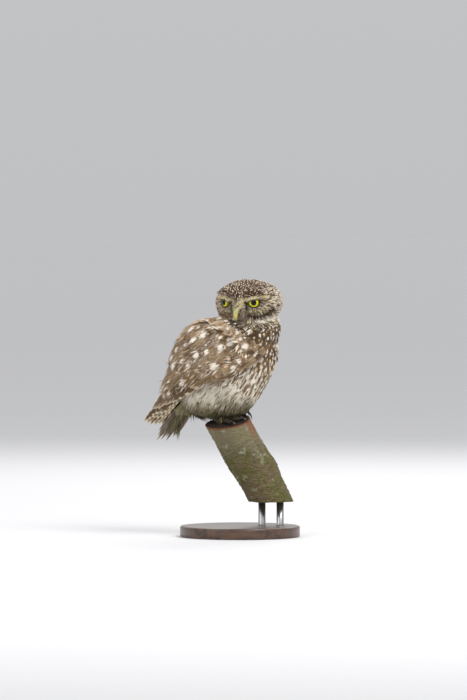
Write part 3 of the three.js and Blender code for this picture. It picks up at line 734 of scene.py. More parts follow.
def face_colour(h, gap):
    """The face's colours by place in the head's frame, and by the gap to the eye's lids."""
    aside, up = np.abs(h[:, 1]), h[:, 2]
    pick = face_streaks(h) + 0.3 * rng.normal(size=len(h))
    dark, pale = pick[:, None] < -0.2, pick[:, None] > 0.3
    base = np.where(dark, mix(BROWN, BROWN_DARK, 0.5), np.where(pale, CREAM, GREY))
    right = step(h[:, 1], -9, -17)
    base = mix(base, GREY * 1.75, 0.85 * (right * (pick > -0.6))[:, None])
    chin = chin_line(aside)
    cheek_band = hill(up + 7 + 0.1 * aside, 2.4) * step(aside, 9, 14)
    brow = hill(up - brow_line(aside) + 0.4, 1.6) * step(aside, 34, 29) * step(aside, 2, 4)
    brow_root = hill(aside - 4.4, 1.9) * step(up, -6, -2) * step(up, 5.5, 3.5)
    lore = hill(aside - 9.2, 2.1) * step(up, -11, -6) * step(up, 4, 2.5)
    cheek_line = hill(up + 10.5 - 0.12 * (aside - 12), 1.1) * step(aside, 8, 11) * step(aside, 24, 19)
    layers = [
        (0.5 * cheek_band * (pick > -0.3), BROW),
        (0.95 * brow, BROW),
        (0.9 * brow_root, BROW),
        ((1 - 0.4 * (right > 0)) * lore, BROWN_DARK * 0.35),
        (0.8 * cheek_line, BROWN_DARK),
        ((0.95 - 0.7 * right) * hill(np.hypot(aside - 24, up - 3.7), 3.2), BROWN_DARK * 0.45),
        (hill(up - chin - 2, 3) * step(aside, 6, 9), BROWN_DARK * 0.5),
        (0.7 * hill(up - chin + 5, 2.1) * step(aside, 14, 21), WHITE),
        (0.8 * step(up, -12, -17) * step(aside, 11, 6), TAUPE),
        (0.7 * hill(aside - 6.5, 2.6) * hill(up + 10, 3.6), TAUPE),
        # Darker round the eye's opening, and most under the brow: painted shade in the hollow round
        # the eye
        (0.95 * step(gap, 2.1, 1.0) * step(up, -1, 3), BROWN_DARK * 0.5),
        (0.8 * step(gap, 1.5, 0.7), BROWN_DARK * 0.6),
    ]
    for amount, tone in layers:
        base = mix(base, tone, np.clip(amount, 0, 1)[:, None])
    return base


# Skin: one closed surface under the whole coat
COAT_DEPTH = 3.2
HEAD_COAT_DEPTH = 1.4
SKIN_CELL = 1.15
BODY_LENGTH = 118
BODY_AXIS = unit((-0.62, 0, -0.78))
BODY_FRONT = unit((0.78, 0, -0.62))
VENT = np.array([-46, 0, 147])
FEET = {"right": (-3, -9.5, -4), "left": (-4, 9, 6)}
cut_normal = unit(bird.turn.T @ unit(PERCH_CUT))
cut_middle = bird.inside(PERCH_TOP)


def torso_rings(grow, rows=40, sides=64):
    t, angle = np.broadcast_arrays(
        np.linspace(0, 1, rows)[:, None], np.linspace(0, 360, sides, endpoint=False)
    )
    return torso_point(t, angle) + grow * torso_out(t, angle)


def neck_rings(grow, rows=12, sides=64):
    """The ruff between torso and head, high behind the head and low under the face."""
    angle = np.linspace(0, 360, sides, endpoint=False)
    root = torso_point(np.full(sides, 0.93), angle)
    turn, face = np.radians(angle), math.radians(HEAD_YAW)
    under = np.maximum(0, np.cos(turn) * math.cos(face) + np.sin(turn) * math.sin(face))
    radius = 33 - 8 * under
    crown = vectors(HEAD_CENTRE[0] + radius * np.cos(turn), radius * np.sin(turn),
                    HEAD_CENTRE[2] - 9 - 9 * under)
    rings = []
    for share in np.linspace(0, 1, rows):
        point = mix(root, crown, share)
        axis = vectors(mix(24, HEAD_CENTRE[0], share), 0, point[:, 2])
        rings.append(point + unit(point - axis) * (grow + 2.5 * math.sin(math.pi * share)))
    return np.array(rings)


def head_rings(grow, rows=70, sides=120):
    lift, turn = np.broadcast_arrays(
        np.radians(np.linspace(-86, 86, rows))[:, None],
        np.linspace(0, 2 * np.pi, sides, endpoint=False),
    )
    back = step(-np.cos(lift) * np.cos(turn), -0.5, 0.5)
    return head_point(lift, turn, grow * (0.5 + 0.9 * back))


def wing_pad(side, rows=26, half=14):
    """The flesh under a wing's coverts."""
    point, out = wing_sheet(side)
    rings = []
    for i in range(rows + 1):
        share = i / rows
        thick = 2.6 * math.sqrt(max(0.02, math.sin(math.pi * mix(0.1, 0.97, share))))
        angle = np.pi * np.arange(2 * half) / half
        u = np.full(2 * half, mix(0.07, 0.8, share))
        v = 0.5 - 0.44 * np.cos(angle)
        lift = thick * np.sin(angle) - 1.8
        rings.append(point(u, v) + lift[:, None] * out(u, v))
    return np.array(rings)


def face_height(x, y):
    """The height of the branch's cut face in the bird's frame."""
    n, m = cut_normal, cut_middle
    return m[2] - (n[0] * (x - m[0]) + n[1] * (y - m[1])) / n[2]


def leg_rings(name):
    x, y, _ = FEET[name]
    ground = face_height(x, y)
    points = [(x - 4, y * 1.3, 156), (x - 2, y * 1.2, 146), (x, y, 137), (x, y, ground + 4)]
    return taper_rings(points, [11, 10, 6.6, 4.6], 24, 10)


def skin_colours(p):
    """The coat's base and mark colours at points of the model, given in its frame."""
    b = bird.inside(p)
    h = head.inside(p)
    front, height, _ = body_place(b)
    base = mix(BROWN, BELLY, (step(front, -0.2, 0.25) * step(height, 0.85, 0.55))[:, None])
    mark = mix(BROWN_DARK, GREY, step(front, -0.2, 0.3)[:, None])
    on_head = step(b[:, 2], 228, 238)[:, None]
    face = on_face(h)[:, None]
    base = mix(base, np.where(face, face_colour(h, beside_eye(p)) * 0.8, CROWN), on_head)
    mark = mix(mark, np.where(face, base * 0.6, BROWN_DARK), on_head)
    wing = (step(np.abs(b[:, 1]), 30, 36) * step(front, 0.4, 0.2))[:, None]
    return mix(base, BROWN, wing), mark


def body_place(b):
    """How far a place in the bird's frame is to the front, along the body and to the left."""
    height = -(b - VENT) @ BODY_AXIS / BODY_LENGTH
    t = np.clip(height, 0, 1)
    middle = (belly_line(t) + back_line(t)) / 2
    away = b - middle
    away = unit(away - (away @ BODY_AXIS)[:, None] * BODY_AXIS)
    return away @ BODY_FRONT, height, away[:, 1]


def read(items, key, kind=float):
    """Three numbers of each of a mesh's items, such as its points, as rows."""
    values = np.empty(len(items) * 3, kind)
    items.foreach_get(key, values)
    return values.reshape(-1, 3)


def make_skin():
    tail_root = taper_rings(
        [(-14, 0, 0), (4, 0, 0), (22, 0, 0), (40, 0, 0)], [10, 12, 10, 3], 24, 12, flatten=0.35
    )
    parts = [loft("part", rings, place) for rings, place in (
        (torso_rings(-COAT_DEPTH), bird), (neck_rings(-COAT_DEPTH), bird),
        (head_rings(-HEAD_COAT_DEPTH), head), (leg_rings("right"), bird), (leg_rings("left"), bird),
        (wing_pad(1), bird), (wing_pad(-1), bird), (tail_root, tail),
    )]
    skin = joined("skin", parts)
    remesh = skin.modifiers.new("one surface", "REMESH")
    remesh.mode = "VOXEL"
    remesh.voxel_size = SKIN_CELL * MM
    remesh.use_smooth_shade = True
    smooth = skin.modifiers.new("even", "CORRECTIVE_SMOOTH")
    smooth.iterations = 4
    smooth.use_only_smooth = True
    for modifier in list(skin.modifiers):
        bpy.ops.object.modifier_apply(modifier=modifier.name)
    base, mark = skin_colours(read(skin.data.vertices, "co") / MM)
    store(skin, "FLOAT_COLOR", base=base, mark=mark)
    settle(skin, skin_material(), "plumage_pale", "torso", "neck", "head", "leg_right", "leg_left",
           "wing_right", "wing_left", "tail")
    return skin


skin = make_skin()


class Ground:
    """The skin as a surface to plant feathers on, in the model's frame in millimetres."""

    def __init__(self, obj):
        mesh = obj.data
        mesh.calc_loop_triangles()
        self.points = read(mesh.vertices, "co") / MM
        self.normals = read(mesh.vertices, "normal")
        self.faces = read(mesh.loop_triangles, "vertices", int)
        a, b, c = (self.points[self.faces[:, k]] for k in range(3))
        self.areas = 0.5 * np.linalg.norm(np.cross(b - a, c - a), axis=1)

    def scatter(self, keep, spacing, tries=9):
        """Places spread evenly where keep is true, as far apart as spacing says."""
        middles = self.points[self.faces].mean(1)
        chosen = np.flatnonzero(keep(middles))
        weights = self.areas[chosen]
        gap = np.median(spacing(middles[chosen]))
        wanted = int(tries * weights.sum() / gap**2)
        picks = chosen[rng.choice(len(chosen), wanted, p=weights / weights.sum())]
        a, b = rng.random((2, wanted))
        flip = a + b > 1
        a[flip], b[flip] = 1 - a[flip], 1 - b[flip]
        corners = self.faces[picks]
        w = np.stack([1 - a - b, a, b], -1)[..., None]
        points = (self.points[corners] * w).sum(1)
        normals = unit((self.normals[corners] * w).sum(1))
        near = spacing(points)
        keys = np.floor(points / float(near.max())).astype(int)
        beside = list(itertools.product((-1, 0, 1), repeat=3))
        grid, kept = {}, []
        for i, (x, y, z) in enumerate(keys):
            others = [j for dx, dy, dz in beside for j in grid.get((x + dx, y + dy, z + dz), ())]
            if not others or (((points[others] - points[i]) ** 2).sum(1) >= near[i] ** 2).all():
                grid.setdefault((x, y, z), []).append(i)
                kept.append(i)
        return points[kept], normals[kept]


ground = Ground(skin)


def round_body(points):
    """An unwrap of the body: round its axis and along it."""
    b = bird.inside(points)
    front, height, left = body_place(b)
    return vectors(np.arctan2(left, front) / (2 * np.pi) + 0.5, np.clip(height / 1.25, 0, 1))


def round_head(points):
    """An unwrap of the head: round it and over it."""
    h = unit(head.inside(points))
    return vectors(np.arctan2(h[:, 1], h[:, 0]) / (2 * np.pi) + 0.5, np.arcsin(h[:, 2]) / np.pi + 0.5)


def strands(coat, root, along, out, length, width, look, bake, count=11, fray=0.35, fine=1.7,
            solid=False, sink=1.2, rise=2.0, bend=0.0):
    """Loose feathers: each a fan of narrow barbs from one root, over a vane where it is solid."""
    n = len(root)
    out = unit(out)
    along = unit(along - out * np.sum(along * out, -1, keepdims=True))
    across = np.cross(out, along)
    length, width = np.broadcast_to(length, n), np.broadcast_to(width, n)
    if solid:
        coat.add(root, along, out, length * 0.92, width * 0.94, look, bake, sink=sink,
                 rise=rise - 0.3, bend=bend)
    for q in np.linspace(-1, 1, count):
        shift = q + 0.16 * rng.normal(size=n)
        reach = length * (1 - 0.26 * q * q + 0.09 * rng.normal(size=n))
        way = along + across * (fray * shift * width / length)[:, None]
        start = root + across * (0.3 * shift * width)[:, None]
        local = dict(look)
        tone = 1 + 0.09 * rng.normal(size=(n, 1))
        local["base"], local["mark"] = look["base"] * tone, look["mark"] * tone
        coat.add(
            start, way, out, reach, width / count * fine, local, bake,
            shape=HAIR_TIP, section=BARB, thick=0.1, twist=0.004 * rng.normal(size=n),
            sink=sink, rise=rise + 0.25 * rng.random(n), bend=bend,
            barb=(np.clip(shift, -1, 1), 1 / count, 0.5 * width / length),
        )


class WingMap:
    """Where a place in the bird's frame lies on the nearer wing's sheet."""

    def __init__(self):
        u, v = np.meshgrid(np.linspace(0, 1, 81), np.linspace(0, 1, 41), indexing="ij")
        self.uv = np.tile(np.stack([u.ravel(), v.ravel()], -1), (2, 1))
        points = np.concatenate([wing_sheet(side)[0](u, v).reshape(-1, 3) for side in (-1, 1)])
        self.tree = KDTree(len(points))
        for i, point in enumerate(points):
            self.tree.insert(point, i)
        self.tree.balance()

    def find(self, b):
        found = [self.tree.find(p) for p in b]
        uv = self.uv[[f[1] for f in found]]
        return uv[:, 0], uv[:, 1], np.array([f[2] for f in found])

    def hides(self, b, front=0.1, low=0.86):
        u, v, far = self.find(b)
        front = front + 0.12 * step(v, 0.45, 0.8) * (b[:, 1] > 0)
        return (u > front) & (v > 0.02) & (((far < 10) & (v < low)) | (far < 5.5))


wings = WingMap()


def body_flow(points):
    """The lie of the body's feathers: down the breast and back, away from the head."""
    b = bird.inside(points)
    front, height, left = body_place(b)
    way = np.broadcast_to(BODY_AXIS, b.shape) + 0.0
    way[:, 2] -= 0.3 * step(front, 0, 0.6) * step(height, 0.3, 0.7)
    way[:, 1] += left * 0.12
    return bird.ways(way)


def off_head(b):
    h = head.inside(bird.points(b))
    return (b[:, 2] < 237) | (h[:, 2] < -20)


def add_breast():
    """Breast: brown with pale drops at the neck, then white with brown streaks."""

    def keep(p):
        b = bird.inside(p)
        front, height, _ = body_place(b)
        place = (front > -0.3) & (height > 0.48) & (b[:, 2] < 247) & off_head(b)
        place[place] = ~wings.hides(b[place], 0.15, 0.9)
        return place

    root, out = ground.scatter(keep, lambda p: mix(
        4.7, 4.3, step(body_place(bird.inside(p))[1], 0.7, 0.9)))
    n = len(root)
    front, height, _ = body_place(bird.inside(root))
    upper = step(height + 0.05 * rng.normal(size=n), 0.62, 1.0)
    side = step(front, 0.75, 0.1)
    flow = body_flow(root) + 0.07 * rng.normal(size=(n, 3))
    top = step(height, 0.84, 1.0)
    brown = varied(mix(mix(BROWN, BROWN_WARM, 0.25), BROWN_DARK, 0.6 * top[:, None]), n, 0.14)
    white = varied(mix(CREAM, WHITE, 0.4 + 0.6 * rng.random((n, 1))), n, 0.06)
    drop = rng.random(n) < mix(0.4, 0.92, np.maximum(upper, 0.7 * side))
    bright = (rng.random(n) < mix(0.9, 0.5, upper))[:, None]
    pale = np.where(bright, white, varied(BUFF, n, 0.08))
    spot = np.where(rng.random(n) < 0.95, mix(0.6, 0.5, upper), 0.25)
    spot = spot * drop * rng.uniform(0.75, 1.2, n) * (1 - 0.25 * top)
    streak = np.where(drop, 0, np.where(rng.random(n) < 0.85, 0.33, 0))
    look = looks(
        n, np.where(drop[:, None], brown, white), np.where(drop[:, None], pale, brown), streak, spot,
        along=0.78, long=mix(1.8, 1.4, upper), aside=0.2 * rng.normal(size=n),
    )
    coats = {False: Coat("coat_breast"), True: Coat("coat_neck")}
    for high, coat in coats.items():
        pick = (height > 0.8) == high
        m = pick.sum()
        strands(
            coat, root[pick], flow[pick], out[pick],
            mix(16, 11, upper[pick]) * (1 + 0.1 * rng.normal(size=m)), mix(7.6, 7.0, upper[pick]),
            {k: v[pick] for k, v in look.items()}, round_body(root[pick]), count=13, fine=2.0,
            solid=True, sink=1.1, rise=2.0, bend=1 / 58,
        )
        coat.build("plumage_brown" if high else "plumage_pale")


def add_belly():
    """Belly, flanks and vent: long loose down, whitish with soft grey-brown, and dark olive below,
    where the shade under the bird and the branch's olive bounce light are painted in.
    """

    def keep(p):
        b = bird.inside(p)
        front, height, _ = body_place(b)
        place = (front > -0.75) & (height < 0.5) & (b[:, 2] > 128) & (b[:, 0] > -62)
        place[place] = ~wings.hides(b[place], 0.1, 0.84)
        return place

    root, out = ground.scatter(keep, lambda p: np.full(len(p), 4.0))
    n = len(root)
    b = bird.inside(root)
    height = body_place(b)[1]
    low = step(b[:, 2] + 2.5 * rng.normal(size=n), 160, 148)
    flow = body_flow(root) + 0.13 * rng.normal(size=(n, 3))
    flow = flow + bird.ways(np.array([[-0.05, 0, -1.1]])) * low[:, None]
    patches = np.sin(b[:, 0] * 0.19 + b[:, 2] * 0.11 + 1.1) * np.sin(b[:, 2] * 0.21 - b[:, 0] * 0.09)
    shade = step(patches + 0.45 * rng.normal(size=n), 0.0, 0.9)
    base = mix(varied(mix(BELLY, WHITE, 0.6), n, 0.07), varied(GREY, n, 0.1), (0.7 * shade)[:, None])
    # Low down, the dark olive colour, the darker mark and the extra streaks are painted shade under
    # the bird, tinted with painted olive light reflected from the branch
    base = mix(base, varied(OLIVE, n, 0.16) * 0.85, (0.92 * low)[:, None])
    dusk = mix(varied(BROWN, n, 0.1) * 1.3, OLIVE * 0.35, low[:, None])
    streak = np.where(rng.random(n) < mix(0.35, 0.8, step(height, 0.2, 0.5)), 0.3, 0.0)
    streak = np.maximum(streak, 0.4 * low * (rng.random(n) < 0.7))
    room = b[:, 2] - face_height(b[:, 0], b[:, 1]) - 1
    beside = np.hypot(*(b - cut_middle)[:, :2].T) > PERCH_RADIUS[0] + 6
    length = mix(18, 20, low) * (1 + 0.14 * rng.normal(size=n))
    length = np.where(beside, length, np.clip(length, 5, np.maximum(room * 1.2, 5)))
    coat = Coat("coat_belly")
    strands(
        coat, root, flow, out, length, 8.0,
        looks(n, base, dusk, streak), round_body(root), count=13, fray=0.45, fine=1.6,
        sink=1.2, rise=mix(2.3, 3.4, low), bend=1 / 60,
    )
    coat.build("plumage_pale")


TOE_BRISTLES = 90


def add_legs():
    """Down on the legs and short bristles on the toes, both painted dark for the shade under the bird.
    """

    def keep(p):
        b = bird.inside(p)
        return (b[:, 2] < 143) & (np.abs(b[:, 0] + 1) < 19) & (np.abs(b[:, 1]) < 26)

    root, out = ground.scatter(keep, lambda p: np.full(len(p), 2.1))
    n = len(root)
    b = bird.inside(root)
    flow = bird.ways(np.array([0.05, 0, -1]) + 0.16 * rng.normal(size=(n, 3)))
    room = np.maximum(b[:, 2] - face_height(b[:, 0], b[:, 1]) - 0.5, 4)
    coat = Coat("coat_legs")
    # The leg down is painted dark olive: painted shade under the bird
    strands(
        coat, root, flow, out, np.minimum(15, room) * (1 + 0.1 * rng.normal(size=n)), 4.6,
        looks(n, varied(OLIVE * 0.42, n, 0.2), OLIVE * 0.2, 0.35),
        round_body(root), count=7, sink=0.8, rise=3.6,
    )
    m = TOE_BRISTLES
    for foot in FEET:
        for toe in TOES:
            line = spline(toe_points(foot, toe))
            t = rng.random(m) * 0.85
            at, ahead = line(t), unit(line(np.minimum(t + 0.03, 1)) - line(t))
            turn = rng.uniform(-1.25, 1.25, m)
            side = np.cross(ahead, (0, 0, 1))
            away = unit(np.sin(turn)[:, None] * side + np.cos(turn)[:, None] * np.array([0, 0, 1]))
            start = bird.points(at + away * mix(2.5, 2.0, t)[:, None])
            # The toe bristles are painted very dark: painted shade under the bird
            coat.add(
                start, bird.ways(ahead + 0.25 * rng.normal(size=(m, 3))), bird.ways(away),
                mix(5.0, 3.0, t), 0.9, looks(m, varied(OLIVE * 0.3, m, 0.25), BUFF),
                np.tile([0.5, 0.02], (m, 1)), shape=HAIR_TIP, section=BARB, sink=0.3, rise=0.8,
            )
    coat.build("plumage_pale")


def add_mantle():
    """Back and nape: warm brown feathers with white spots near their tips."""

    def keep(p):
        b = bird.inside(p)
        front, height, _ = body_place(b)
        place = (front < -0.28) & (height > 0.0) & (b[:, 2] < 247)
        place[place] = ~wings.hides(b[place], 0.1, 0.97)
        return place

    root, out = ground.scatter(keep, lambda p: mix(
        5.0, 4.3, step(body_place(bird.inside(p))[1], 0.75, 1)))
    n = len(root)
    height = body_place(bird.inside(root))[1]
    nape = step(height, 0.85, 1.05)
    spot = np.where(rng.random(n) < mix(0.4, 0.7, nape), 0.5 + 0.15 * rng.random(n), 0.2)
    coat = Coat("coat_mantle")
    strands(
        coat, root, body_flow(root) + 0.06 * rng.normal(size=(n, 3)), out,
        mix(17, 11.5, step(height, 0.6, 1)), mix(9.5, 7.5, nape),
        looks(n, varied(mix(BROWN, BROWN_WARM, rng.random((n, 1))), n, 0.12), varied(WHITE, n, 0.06),
              0, spot, along=0.76, aside=0.3 * rng.normal(size=n), fringe=0.15),
        round_body(root), count=13, fine=2.0, solid=True, sink=1.0, rise=2.3, bend=1 / 55,
    )
    coat.build("plumage_brown")


# Wings: long flight feathers in tiers, and small feathers in staggered rows over their roots
# Each tier's uppermost and lowermost feather is given by its root and tip in the wing's (u, v)
FLIGHT_TIERS = [
    {
        "count": 9, "width": 10.5, "lift": (-2.4, -0.4), "stack": -0.42, "tilt": 0.02,
        "upper": ((0.58, 0.38), (0.985, 0.1)), "lower": ((0.5, 0.9), (0.945, 0.95)),
        "zigzag": 0.012, "bars": 7.5, "edge": 0.42, "dark": 0.6,
    },
    {
        "count": 10, "width": 12, "lift": (-1.6, 0.8), "stack": 0, "tilt": 0.1,
        "upper": ((0.42, 0.26), (0.84, 0.12)), "lower": ((0.36, 0.92), (0.7, 0.96)),
        "zigzag": 0, "bars": 5.5, "edge": 0.42, "dark": 0.25,
    },
    {
        "count": 11, "width": 10.5, "lift": (-1.4, 1.7), "stack": 0, "tilt": 0.1,
        "upper": ((0.32, 0.3), (0.64, 0.22)), "lower": ((0.2, 0.9), (0.5, 0.97)),
        "zigzag": 0, "bars": 3.5, "edge": 0.4, "dark": 0.25,
    },
]
# Coverts: rows of tips at these shares of the wing's length, and the distance from tip to tip
COVERT_ROWS = np.arange(0.045, 0.66, 0.036)
COVERT_GAP = 6.2
# White spots on the wing: how far back, how far down and how wide in millimetres
SPOTS = [
    (0.25, 0.25, 7.4), (0.19, 0.3, 8.2), (0.095, 0.35, 7), (0.21, 0.1, 6.8), (0.36, 0.09, 6.8),
    (0.315, 0.48, 7), (0.195, 0.62, 8), (0.26, 0.53, 5), (0.12, 0.59, 5.5), (0.145, 0.65, 6.3),
    (0.11, 0.81, 8), (0.45, 0.2, 8), (0.39, 0.34, 5.5), (0.385, 0.49, 5.5), (0.49, 0.52, 6),
    (0.59, 0.28, 6.5), (0.325, 0.8, 8), (0.215, 0.92, 5), (0.27, 0.95, 5.5), (0.43, 0.84, 6),
    (0.51, 0.7, 5.5), (0.1, 0.1, 5.5), (0.14, 0.45, 4), (0.3, 0.2, 4), (0.42, 0.05, 5.5),
    (0.63, 0.5, 4.5), (0.67, 0.3, 5), (0.55, 0.4, 4),
]
SPOT_ALONG = 0.8  # the spot's place along its feather
FLIGHT_TIP = (
    np.linspace(0, 1, 13), [0.5, 0.7, 0.85, 0.94, 0.99, 1, 0.98, 0.94, 0.87, 0.77, 0.62, 0.4, 0.08]
)


def sheet_vanes(coat, sheet, place, roots, tips, width, lift, look, bake, shape, tilt=0.0):
    """Vanes that follow a sheet from root to tip, given in the sheet's (u, v)."""
    point, out = sheet
    s = np.array(shape[0])
    u = mix(roots[:, :1], tips[:, :1], s[None])
    v = mix(roots[:, 1:], tips[:, 1:], s[None])
    spine, normal = point(u, v), out(u, v)
    along = unit(np.gradient(spine, axis=1))
    across = unit(np.cross(normal, along))
    half = 0.5 * np.broadcast_to(width, len(roots))[:, None] * np.array(shape[1])[None]
    rise = mix(np.asarray(lift[0])[..., None], np.asarray(lift[1])[..., None], s[None] ** 0.85)
    spine = spine + normal * np.broadcast_to(rise, half.shape)[..., None]
    coat.lay(s, spine, across, normal, half, look, bake, place, WIDE, 0.3, tilt)


def on_map(uv):
    """An unwrap of a wing's sheet."""
    return uv * 0.9 + 0.05


def add_flight(sheet, side, name):
    """Primaries, secondaries and greater coverts, barred and with pale rims."""
    coat = Coat("coat_flight_" + name)
    for tier in FLIGHT_TIERS:
        count, (root_lift, tip_lift) = tier["count"], tier["lift"]
        share, order = np.linspace(0, 1, count)[:, None], np.arange(count)
        roots, tips = (
            mix(np.array(a), np.array(b), share) for a, b in zip(tier["upper"], tier["lower"])
        )
        tips = tips + rng.normal(size=tips.shape) * (0.007, 0.004)
        lifts = (np.full(count, root_lift), tip_lift + tier["stack"] * order)
        base = varied(mix(BROWN, BROWN_DARK, tier["dark"]), count, 0.12)
        pale = varied(mix(BUFF, WHITE, 0.25), count, 0.06)
        tips[:, 0] += tier["zigzag"] * (-1.0) ** order
        look = looks(count, base, pale, bars=tier["bars"], edge=tier["edge"], fringe=0.8)
        sheet_vanes(coat, sheet, bird, roots, tips, tier["width"], lifts, look, on_map(roots),
                    FLIGHT_TIP, tier["tilt"] * side)
    coat.build("plumage_brown")


def covert_rows(sheet, side):
    """The roots and tips of the coverts on a wing's sheet, in staggered rows."""
    roots, tips = [], []
    for k, u in enumerate(COVERT_ROWS):
        top, low = 0.02, 0.97 if u < 0.46 else mix(0.6, 0.3, (u - 0.46) / 0.2)
        tall = np.linalg.norm(sheet[0](u, low) - sheet[0](u, top)) * 1.12
        count = max(2, int(tall / COVERT_GAP))
        v = np.linspace(top, low, count) + (k % 2) * (low - top) / count / 2
        tips.append(vectors(u, v))
        roots.append(vectors(u - mix(0.1, 0.18, step(u, 0.1, 0.4)), v + 0.02))
    roots, tips = np.concatenate(roots), np.concatenate(tips)
    jitter = rng.normal(size=tips.shape) * (0.009, 0.012)
    roots, tips = roots + jitter, tips + jitter
    shown = (tips[:, 0] > 0.13) | (tips[:, 1] > 0.24)
    if side > 0:
        shown &= tips[:, 0] > 0.06 + 0.14 * step(tips[:, 1], 0.5, 0.85)
    roots[:, 0] = np.maximum(roots[:, 0], 0.015)
    return roots[shown], tips[shown]


def add_coverts(sheet, side, coat):
    roots, tips = covert_rows(sheet, side)
    n = len(roots)
    fore = step(tips[:, 0], 0.24, 0.1)
    shoulder = step(tips[:, 0], 0.3, 0.16) * step(tips[:, 1], 0.6, 0.35)
    tone = rng.random((n, 1))
    base = mix(BROWN, mix(BROWN_WARM, BUFF, 0.35), tone)
    base = np.where(tone < 0.16, mix(BROWN, BROWN_DARK, 0.6), base)
    base = mix(base, PINK, 0.4 * shoulder[:, None])
    pale = np.where(rng.random((n, 1)) < 0.5, varied(PINK, n, 0.08), varied(WHITE, n, 0.06) * 0.85)
    small = np.where(rng.random(n) < mix(0.42, 0.8, fore), rng.uniform(0.25, 0.5, n), 0.0)
    look = looks(
        n, varied(base, n, 0.1), pale, 0, small, along=rng.uniform(0.72, 0.88, n),
        aside=0.4 * rng.normal(size=n), fringe=0.28, long=rng.uniform(0.9, 1.8, n),
    )
    lay_coverts(coat, sheet, roots, tips, 9.6 + 0.8 * rng.normal(size=n),
                mix(2.3, 0.9, fore) + 0.25 * rng.normal(size=n), look, on_map(roots))


def add_spots(sheet, side, coat):
    """Coverts whose white spots lie where SPOTS says, moved a little on the far wing."""
    spots = np.array(SPOTS)
    if side > 0:
        spots[:, :2] += rng.normal(size=(len(spots), 2)) * 0.025
    n = len(spots)
    u, v, size = spots.T
    reach = mix(0.1, 0.17, step(u, 0.1, 0.4))
    tips = vectors(u + (1 - SPOT_ALONG) * reach, v)
    roots = vectors(np.maximum(u - SPOT_ALONG * reach, 0), v + 0.02)
    width = size * 1.3 + 1.5
    look = looks(n, varied(BROWN_WARM, n, 0.1), varied(WHITE, n, 0.04), 0, size / width * 1.15,
                 along=SPOT_ALONG, aside=0.08 * rng.normal(size=n), long=rng.uniform(0.85, 1.4, n),
                 fringe=0.1)
    rise = mix(3.5, 2.2, step(u, 0.24, 0.08))
    lay_coverts(coat, sheet, roots, tips, width, rise, look, on_map(roots))


def lay_coverts(coat, sheet, roots, tips, width, rise, look, bake):
    """Small frayed feathers on a wing's sheet, from root to tip in its (u, v)."""
    point, out = sheet
    a, b, middle = (point(uv[:, 0], uv[:, 1]) for uv in (roots, tips, (roots + tips) / 2))
    normal = out(roots[:, 0], roots[:, 1])
    length = np.linalg.norm(b - a, axis=-1)
    bend = np.clip(8 * np.sum((middle - (a + b) / 2) * normal, -1) / length**2, -0.01, 0.06)
    strands(coat, bird.points(a), bird.ways(b - a), bird.ways(normal), length, width, look, bake,
            count=13, fray=0.12, fine=2.1, solid=True, sink=1.3, rise=rise, bend=bend)


# Tail: long vanes, shorter coverts over them and loose feathers under them
TAIL_VANES = 12
UNDERTAIL_FEATHERS = 150


def add_tail():
    coat = Coat("coat_tail")
    count = TAIL_VANES
    share = np.linspace(-1, 1, count)

    def point(u, v):
        turn, reach = np.radians(13 * v), u * TAIL_LENGTH
        return vectors(reach * np.cos(turn), 9 * v + reach * np.sin(turn), 0)

    def out(u, v):
        return np.broadcast_to((0, 0, 1.0), (*np.shape(u), 3))

    sheet = point, out
    length = 1 - 0.24 * share**2 + 0.03 * rng.normal(size=count)
    length = length + 0.025 * (-1.0) ** np.arange(count)
    roots, tips = vectors(0.05, share), vectors(length, share)
    lifts = (1.4 * np.abs(share) - 0.6, 3.6 * np.abs(share) - 1.6)
    bake = vectors(0.3 + 0.4 * (share + 1) / 2, 0.6)
    look = looks(count, varied(TAIL_GREY, count, 0.3), varied(BUFF, count), bars=4.5,
                 edge=0.5, fringe=0.6)
    sheet_vanes(coat, sheet, tail, roots, tips, 9.0, lifts, look, bake, FLIGHT_TIP)
    for row, (start, reach) in enumerate([(-0.1, 0.52), (-0.25, 0.35), (-0.4, 0.2)]):
        k = 8 - row
        share = np.linspace(-0.9, 0.9, k)
        roots = vectors(start, share)
        tips = vectors(reach - 0.1 * share**2 + 0.03 * rng.normal(size=k), share * 0.9)
        lifts = (np.full(k, -2.0), np.full(k, -2.8 - 0.8 * row))
        look = looks(k, varied(BROWN, k), varied(WHITE, k), 0.0, 0.5, along=0.8)
        bake = vectors(0.3 + 0.4 * (share + 1) / 2, 0.1 + 0.08 * row)
        sheet_vanes(coat, sheet, tail, roots, tips, 11.0, lifts, look, bake, ROUND_TIP)
    n = UNDERTAIL_FEATHERS
    share = rng.uniform(-1, 1, n)
    start = rng.uniform(-16, 9, n)
    root = tail.points(vectors(start, share * 13, 3.5))
    along = tail.ways(vectors(1, 0.16 * share, 0.05 * rng.normal(size=n)))
    out = tail.ways(vectors(0, 0.35 * share, 1))
    bake = vectors(0.3 + 0.2 * (share + 1), 0.1 + 0.01 * (start + 16))
    strands(coat, root, along, out, rng.uniform(12, 17, n), 7.0,
            looks(n, varied(UNDERTAIL, n, 0.1), varied(GREY, n), 0.12 * (rng.random(n) < 0.4)),
            bake, count=11, sink=1.5, rise=1.2)
    coat.build("plumage_brown")


# Head: short feathers that radiate from the bill, barbs on the face and bristles at the bill
LID_BARBS = 620
BRISTLES = 170


